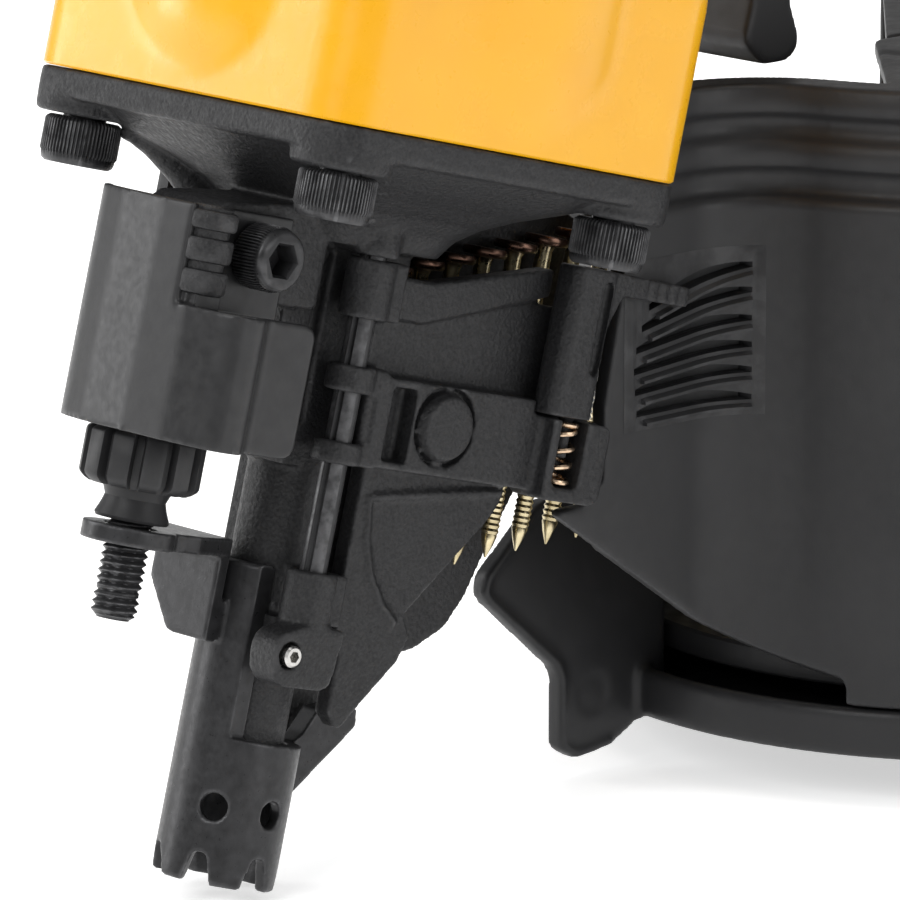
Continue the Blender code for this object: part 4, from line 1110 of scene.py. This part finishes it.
def nails():
    low = NAIL_HEAD_Z - NAIL_LENGTH
    places = []
    for i in range(1, STRIP_NAILS + 1):
        places.append((NAIL_PITCH * i + low * math.sin(TILT), 0.0, low * math.cos(TILT), TILT))
    strip = nails_at(places)
    show(strip, "nails_in_feed", "tool", "zinc_nail", UPRIGHT, "nail_strip")
    for height in (50.0, 66.0):
        points = []
        for i in range(1, STRIP_NAILS + 1):
            for part in range(6):
                wave = math.sin(2 * math.pi * part / 6)
                x = NAIL_PITCH * (i + part / 6) + height * math.tan(TILT)
                points.append((x, 0.15 + 1.35 * wave, height + 0.3 * wave))
        wire = swept(points[:-5], 0.4, 8)
        show(wire, f"collation_wire_{int(height)}", "tool", "zinc_nail", UPRIGHT)
    spiral = []
    reach, angle = COIL_INNER, 0.6
    while reach < COIL_OUTER:
        spiral.append((DRUM_X + reach * math.cos(angle), reach * math.sin(angle), PLATFORM_TOP + 0.4, 0.0))
        angle -= NAIL_PITCH / reach
        reach += COIL_SPACING * NAIL_PITCH / (2 * math.pi * reach)
    coil = nails_at(spiral)
    show(coil, "coiled_nails", "nail_platform", "zinc_nail", UPRIGHT, "nail_coil")
    for height in (PLATFORM_TOP + 14.0, PLATFORM_TOP + 29.0):
        points = []
        for (x0, y0, _, _), (x1, y1, _, _) in zip(spiral, spiral[1:]):
            for part in range(4):
                t = part / 4
                points.append((x0 + (x1 - x0) * t, y0 + (y1 - y0) * t,
                               height + 0.3 * math.sin(math.pi * t)))
        show(swept(points, 0.4, 6), f"coil_wire_{int(height)}", "nail_platform", "zinc_nail", UPRIGHT)


# ---------------------------------------------------------------- drum magazine

def bend_centre():
    """Plan centre of the hollow bend, which touches both the flat cheek and the drum."""
    reach = DRUM_R + CHEEK_BEND
    drop = CHEEK_Y - CHEEK_BEND
    return DRUM_X - math.sqrt(reach ** 2 - drop ** 2), drop


def cover_point(x, inset):
    """Point of the cover's front wall at a plan distance, on the flat cheek or its hollow bend."""
    bend_x, drop = bend_centre()
    if x <= bend_x:
        return (x, CHEEK_Y + inset)
    angle = math.acos(min(1.0, (x - bend_x) / CHEEK_BEND))
    radius = CHEEK_BEND + inset
    return (bend_x + radius * math.cos(angle), drop + radius * math.sin(angle))


def cover_line(inset):
    """Plan of the cover's wall: flat cheek, hollow bend, then the drum up to its hinge."""
    bend_x, drop = bend_centre()
    turn = math.atan2(-drop, DRUM_X - bend_x)
    line = [(CHEEK_X, CHEEK_Y + inset)]
    for i in range(15):
        angle = math.pi / 2 - (math.pi / 2 - turn) * i / 14
        radius = CHEEK_BEND + inset
        line.append((bend_x + radius * math.cos(angle), drop + radius * math.sin(angle)))
    start = math.pi + turn
    stop = math.radians(357)
    for i in range(1, 91):
        angle = start + (stop - start) * i / 90
        line.append((DRUM_X + (DRUM_R - inset) * math.cos(angle), (DRUM_R - inset) * math.sin(angle)))
    return line


def wall_section(low, lip):
    """Section of the drum's wall as inset and height, with the bands under its top edge."""
    outer = [(0.35, low), (0.0, low + 0.4), (0.0, 79.2), (0.5, 79.9), (1.7, 80.6), (1.8, 82.8),
             (1.2, 83.7), (0.3, 84.2), (0.0, 85.0), (0.0, 86.4), (0.4, 87.4), (1.2, 87.9), (1.8, 88.8),
             (1.8, 90.4), (1.0, 91.0), (0.9, 91.3), (0.3, 91.5), (0.3, 93.3), (1.2, 93.5), (1.2, 93.9),
             (0.6, 94.1), (0.7, 94.7), (1.1, 95.0)]
    return outer + [(lip, 95.0), (lip, 92.4), (3.8, 92.0), (3.8, 79.0), (2.6, 77.6), (2.6, low)]


def half_lid(way):
    """Lid half with a shallow groove; way is the side it covers."""
    profile = [(DRUM_R - 1.8, DRUM_TOP - 2.5), (DRUM_R - 1.8, DRUM_TOP), (30, DRUM_TOP),
               (29.6, DRUM_TOP - 0.4), (27.4, DRUM_TOP - 0.4), (27.0, DRUM_TOP), (3, DRUM_TOP)]
    lid = turned(profile, 128, DRUM_AXIS)
    near, far = (-70, 0.3) if way > 0 else (-0.3, 70)
    cut(lid, box((DRUM_X - 70, DRUM_X + 70), (near, far), (80, 110)))
    return lid


def canister_base():
    inner = DRUM_R - DRUM_WALL
    rim = [(inner - 1.5, 7), (inner - 1.5, 9.6), (inner, 9.8), (inner, 10.9), (inner + 0.4, DRUM_RIM),
           (DRUM_R - 0.5, DRUM_RIM), (DRUM_R, DRUM_RIM - 0.5), (DRUM_R, DRUM_FLOOR + 0.8),
           (DRUM_R - 0.6, DRUM_FLOOR), (inner - 1.5, DRUM_FLOOR)]
    wall = [(DRUM_R - 0.1 - inset, z) for inset, z in wall_section(9, 7.0)]
    base = hollow_turned(rim, 160, DRUM_AXIS)
    join(base, pipe(inner, DRUM_FLOOR + 0.2, 7.6, 128, DRUM_AXIS),
         turned([(24.5, SOLE), (26, SOLE + 0.8), (26, 4.2), (28, DRUM_FLOOR + 1)], 96, DRUM_AXIS),
         hollow_turned(wall, 96, DRUM_AXIS, 0.0, 168.75), half_lid(1))
    cut(base, prism([(60, -0.3), (122, -0.3), (185, 62), (60, 62)], DRUM_OPEN, DRUM_TOP + 5))
    solids = [turned([(4.2, 6), (4.2, 65), (3.4, 66)], 48, DRUM_AXIS)]
    plate = [(66.5, 37.5, 1), (56.5, 29, 1.5), (55.7, 26.4, 1.5), (57, 24.8, 1.5), (69, 14.2, 1.2),
             (70, 12.5, 1.0), (70, 2.5, 1.5), (73, 0.7, 1.5), (80, 1.5, 5), (86, DRUM_FLOOR, 2),
             (90, DRUM_FLOOR, 0), (90, 37.5, 0)]
    solids.append(rounded_prism(plate, 1.5, 9.0, 11.5, "Y"))
    edge = [(66.9, 37.5), (57.0, 28.8), (56.3, 26.5), (57.4, 25.2), (69.6, 14.7), (70.6, 12.6), (70.6, 3.0),
            (73.2, 1.4), (79.8, 2.1)]
    solids.append(swept([(x, 9.1, z) for x, z in edge], 0.65, 10))
    for low, high in ((20, 30), (70, 80)):
        solids.append(turned([(4.2, low), (4.5, low + 0.3), (4.5, high - 0.3), (4.2, high)], 48, COVER_PIN))
        solids.append(box((DRUM_X + inner + 0.5, COVER_PIN_X), (0.5, 4.2), (low, high)))
    for z in (30.0, 36.0, 42.0, 48.0, 54.0, 60.0):
        solids.append(hollow_turned([(DRUM_R - 1.2, z), (DRUM_R - 0.1, z + 0.25), (DRUM_R - 0.1, z + 1.15),
                                     (DRUM_R - 1.2, z + 1.4)], 40, DRUM_AXIS, 100, 44))
    join(base, *solids)
    cut(base, pipe(3.2, 8.6, 9.3, 48, (76.3, 9.4), "Y"))
    for z in (20, 70):
        cut(base, pipe(2.3, z - 1, z + 11, 32, COVER_PIN))
    cut(base, pipe(3.2, DRUM_TOP - 4, DRUM_TOP + 1, 32, ARM_SCREW))
    show(cast(base, 0.62, 2), "drum_base", "tool", "black_polymer", UPRIGHT, "canister_base")


LOUVRE_LEFT = ((64.5, 52.7), (64.2, 55.6), (64.0, 58.4), (64.4, 61.2), (65.4, 64.0), (66.7, 66.7))
LOUVRE_END = 83.0
LOUVRE_RIGHT = (52.8, 56.5, 59.9, 63.5, 67.3, 70.7)


def louvre_slot(left, right_z):
    """Arched vent slot: straight lower edge and a bowed upper one."""
    low_x, low_z = left
    top = []
    for k in range(15):
        t = 1 - k / 14
        rise = 0.35 + 1.55 * math.sin(math.pi * (0.06 + 0.9 * t)) ** 0.7
        top.append((low_x + (LOUVRE_END - low_x) * t, low_z + (right_z - low_z) * t + rise))
    return prism([(low_x, low_z), (LOUVRE_END, right_z)] + top, -17, -7, "Y")


def louvre_fin(left, right_z):
    """Slanting blade under a slot, following the cheek into its bend."""
    low_x, low_z = left
    rings = []
    for k in range(13):
        t = k / 12
        x = low_x + 1.2 + (LOUVRE_END - low_x - 1.2) * t
        z = low_z + (right_z - low_z) * t
        section = ((-0.8, z - 1.25), (-0.8, z - 0.85), (1.2, z + 0.1), (1.2, z - 1.4))
        rings.append([(*cover_point(x, inset), height) for inset, height in section])
    return loft(rings)


def cheek_band(start, end, section):
    """Solid that follows the cheek, with its section given as inset and height."""
    rings = []
    for k in range(29):
        x = start + (end - start) * k / 28
        rings.append([(*cover_point(x, inset), z) for inset, z in section])
    return loft(rings)


def louvre_panel():
    """Vented part of the cheek, kept crisp."""
    panel = cheek_band(62.2, 84.4, ((-0.02, 50.8), (-0.02, 73.6), (2.1, 73.6), (2.1, 50.8)))
    for left, right_z in zip(LOUVRE_LEFT, LOUVRE_RIGHT):
        cut(panel, louvre_slot(left, right_z))
    join(panel, *[louvre_fin(left, right_z) for left, right_z in zip(LOUVRE_LEFT, LOUVRE_RIGHT)])
    # Closed sheet behind the slots: it stands in for the shade inside them, so they show dark and no nails show
    # through.
    shade_backing = cheek_band(62.6, 84.0, ((2.05, 51.2), (2.05, 73.2), (3.0, 73.2), (3.0, 51.2)))
    return join(bevelled(panel, 0.12, 2), shade_backing)


def canister_cover():
    """Wall along the cover's plan, slanted off below, with a lip and part of a lid on top."""
    section = wall_section(DRUM_RIM + 0.3, 7.0)
    lines = {inset: cover_line(inset) for inset, _ in section}
    cover = loft([[(*lines[inset][k], z) for inset, z in section] for k in range(len(lines[0.0]))])
    lid = half_lid(-1)
    cut(lid, prism([(70, 1), (121, 1), (94, -28), (70, -28)], 80, 100))
    join(cover, lid)
    cut(cover,
        prism([(50, 5), (50, 43), (CHEEK_X - 1, 36.3), (76.7, 23), (100, 9.5), (100, 5)], -25, 5, "Y"))
    cut(cover, prism([(50, 55), (CHEEK_X, 55), (62, 70), (64, 86), (64, 100), (50, 100)], -25, 5, "Y"))
    corner = [(50.2, 42.3, 0.8), (51.5, 40.8, 0.8), (CHEEK_X, 35.7, 0), (CHEEK_X + 1, 40, 0),
              (CHEEK_X + 1, 46, 0), (55.5, 42.3, 2)]
    join(cover, rounded_prism(corner, 0.8, CHEEK_Y, CHEEK_Y + DRUM_WALL, "Y"))
    cut(cover, prism([(63.2, 51.8), (83.4, 51.8), (83.4, 72.6), (63.2, 72.6)], -20, -6, "Y"))
    join(cover, turned([(4.2, 30.4), (4.5, 30.7), (4.5, 69.3), (4.2, 69.6)], 48, COVER_PIN))
    join(cover, box((DRUM_X + DRUM_R - DRUM_WALL - 1.6, COVER_PIN_X), (-4.2, -1.4), (30.4, 69.6)))
    cut(cover, pipe(2.3, 29, 71, 32, COVER_PIN))
    show(cast(cover, 0.55, 2), "drum_cover", "canister_cover", "black_polymer", UPRIGHT, "canister_cover")
    show(louvre_panel(), "cheek_louvres", "canister_cover", "black_polymer", UPRIGHT)
    pin = turned([(1.7, 19), (2.0, 19.4), (2.0, 80.6), (1.7, 81)], 32, COVER_PIN)
    show(pin, "cover_hinge_rod", "tool", "bright_steel", UPRIGHT, "cover_pin")


def nail_platform():
    disc = hollow_turned([(4.6, 12.5), (49.6, 12.5), (50, 12.9), (50, 15.9), (49.6, PLATFORM_TOP),
                          (12.5, PLATFORM_TOP), (10.8, 17.1), (9, 38.5), (4.6, 38.5)], 96, DRUM_AXIS)
    for k in range(8):
        slot = shifted(prism(rounded_rectangle(9, 2.2, 2.1, 6), 10, 19), DRUM_X + 27, 0, 0)
        cut(disc, turned_about(slot, 45 * k + 22.5, DRUM_AXIS))
    show(bevelled(disc, 0.25), "height_platform", "nail_platform", "black_polymer", UPRIGHT,
         "nail_platform")


def magazine_arm():
    plate_top = DRUM_TOP + 4.0
    arm = rounded_prism([(152, 8), (184, 8), (184, 26), (152, 26)], 3.0, DRUM_TOP + 0.3, plate_top)
    brace = [(158, plate_top - 1, 0), (182, plate_top - 1, 0), (226, 140, 2), (226, 143.5, 0.5),
             (204, 143.5, 0.5)]
    solids = [rounded_prism(brace, 0.5, 8, 12.5, "Y"), box((204, 226), (-9, 12), (140, 143.5)),
              prism([(176, plate_top), (180, plate_top), (219, 139), (215, 139)], 12, 15, "Y")]
    join(arm, *solids)
    cut(arm, pipe(3.2, DRUM_TOP - 1, plate_top + 1, 24, ARM_SCREW))
    cut(arm, pipe(3.2, 139, 145, 24, HANDLE_SCREW))
    cut(arm, rounded_prism([(176, 108), (184, 108), (206, 132), (200, 135)], 2.0, 7, 16, "Y"))
    show(cast(arm, 0.5, 2), "magazine_bracket", "tool", "black_casting", UPRIGHT, "magazine_arm")
    upper = socket_screw(*HANDLE_SCREW, 139.7, 151, 5.0)
    show(upper, "bracket_screw_handle", "tool", "black_oxide", UPRIGHT, "arm_screw_handle")
    lower = socket_screw(*ARM_SCREW, plate_top + 0.3, DRUM_TOP - 3.5, 5.0, True)
    show(lower, "bracket_screw_drum", "tool", "black_oxide", UPRIGHT, "arm_screw_canister")


# ---------------------------------------------------------------- pieces that stay as packed

def finish_packed_nodes():
    slots = {part["node"]: part["material_slot"] for part in frame["record"]["subparts"]}
    for name, obj in frame["nodes"].items():
        obj.data.materials.clear()
        obj.data.materials.append(FINISHES[slots[name]])
        obj.data.shade_smooth()
        obj.data.set_sharp_from_angle(angle=math.radians(32))


# ---------------------------------------------------------------- studio

VIEW_AZIMUTH = math.radians(42.8)
VIEW_PITCH = math.radians(13.0)
AHEAD = Vector((math.sin(VIEW_AZIMUTH) * math.cos(VIEW_PITCH),
                math.cos(VIEW_AZIMUTH) * math.cos(VIEW_PITCH), -math.sin(VIEW_PITCH)))
RIGHT = Vector((math.cos(VIEW_AZIMUTH), -math.sin(VIEW_AZIMUTH), 0.0))
OVER = RIGHT.cross(AHEAD)
AIM = TIP + RIGHT * 0.0305 + OVER * 0.0551
FLOOR_HALF = 6.0


def camera():
    data = bpy.data.cameras.new("photo_camera")
    data.lens = 312.0
    data.sensor_width = 36.0
    data.clip_start = 0.01
    data.clip_end = 50.0
    obj = bpy.data.objects.new("photo_camera", data)
    obj.location = AIM - AHEAD * 1.0
    obj.rotation_euler = AHEAD.to_track_quat("-Z", "Y").to_euler()
    bpy.context.collection.objects.link(obj)
    bpy.context.scene.camera = obj


def studio_floor():
    bm = bmesh.new()
    ground = CAD_BOX[0][2] - 0.0002
    bm.faces.new([bm.verts.new((x, y, ground)) for x, y in corners(FLOOR_HALF)])
    floor = mesh_object(bm)
    floor.name = "studio_floor"
    paper = Shader("floor_paper", (0.93, 0.93, 0.93), 0.9, Emission_Strength=0.55,
                   Emission_Color=(1.0, 1.0, 1.0, 1.0))
    tone = paper.ramp(paper.noise(3, 2), 0.3, 0.7)
    paper.set(paper.main, "Base Color", paper.mix(tone, (0.925, 0.925, 0.925), (0.94, 0.94, 0.94)))
    floor.data.materials.append(paper.material)


def area_light(name, offset, size, power, size_y=None):
    """Softbox placed by right, ahead and up from the aim point, turned to face it."""
    data = bpy.data.lights.new(name, "AREA")
    data.shape = "RECTANGLE"
    data.size = size
    data.size_y = size_y or size
    data.energy = power
    obj = bpy.data.objects.new(name, data)
    level = Vector((AHEAD.x, AHEAD.y, 0.0)).normalized()
    obj.location = AIM + RIGHT * offset[0] + level * offset[1] + Vector((0, 0, offset[2]))
    obj.rotation_euler = (AIM - obj.location).to_track_quat("-Z", "Y").to_euler()
    bpy.context.collection.objects.link(obj)


def lights():
    area_light("key_softbox", (-0.75, -1.0, 0.95), 0.8, 9.0)
    area_light("left_strip", (-1.1, 0.25, 0.25), 0.35, 6.0, 1.1)
    area_light("right_fill", (1.1, -0.7, 0.5), 0.9, 5.0)
    area_light("top_softbox", (0.1, 0.2, 1.5), 1.2, 10.0)
    world = bpy.data.worlds.new("studio")
    world.use_nodes = True
    background = world.node_tree.nodes["Background"]
    background.inputs["Color"].default_value = (1.0, 1.0, 1.0, 1.0)
    background.inputs["Strength"].default_value = 0.42
    bpy.context.scene.world = world
    bpy.context.scene.view_settings.view_transform = "Standard"


# ---------------------------------------------------------------- assembly

PIECES = (body_housing, handle_grip, top_cap, flange_screws, head_valve_spring, exhaust_deflector,
          handle_end, trigger, nose_base, contact_foot, depth_wheel, trip_arm, shield, feed_door,
          door_latch, feed_unit, nails, canister_base, canister_cover, nail_platform, magazine_arm)

finish_packed_nodes()
for make in PIECES:
    make()
camera()
studio_floor()
lights()
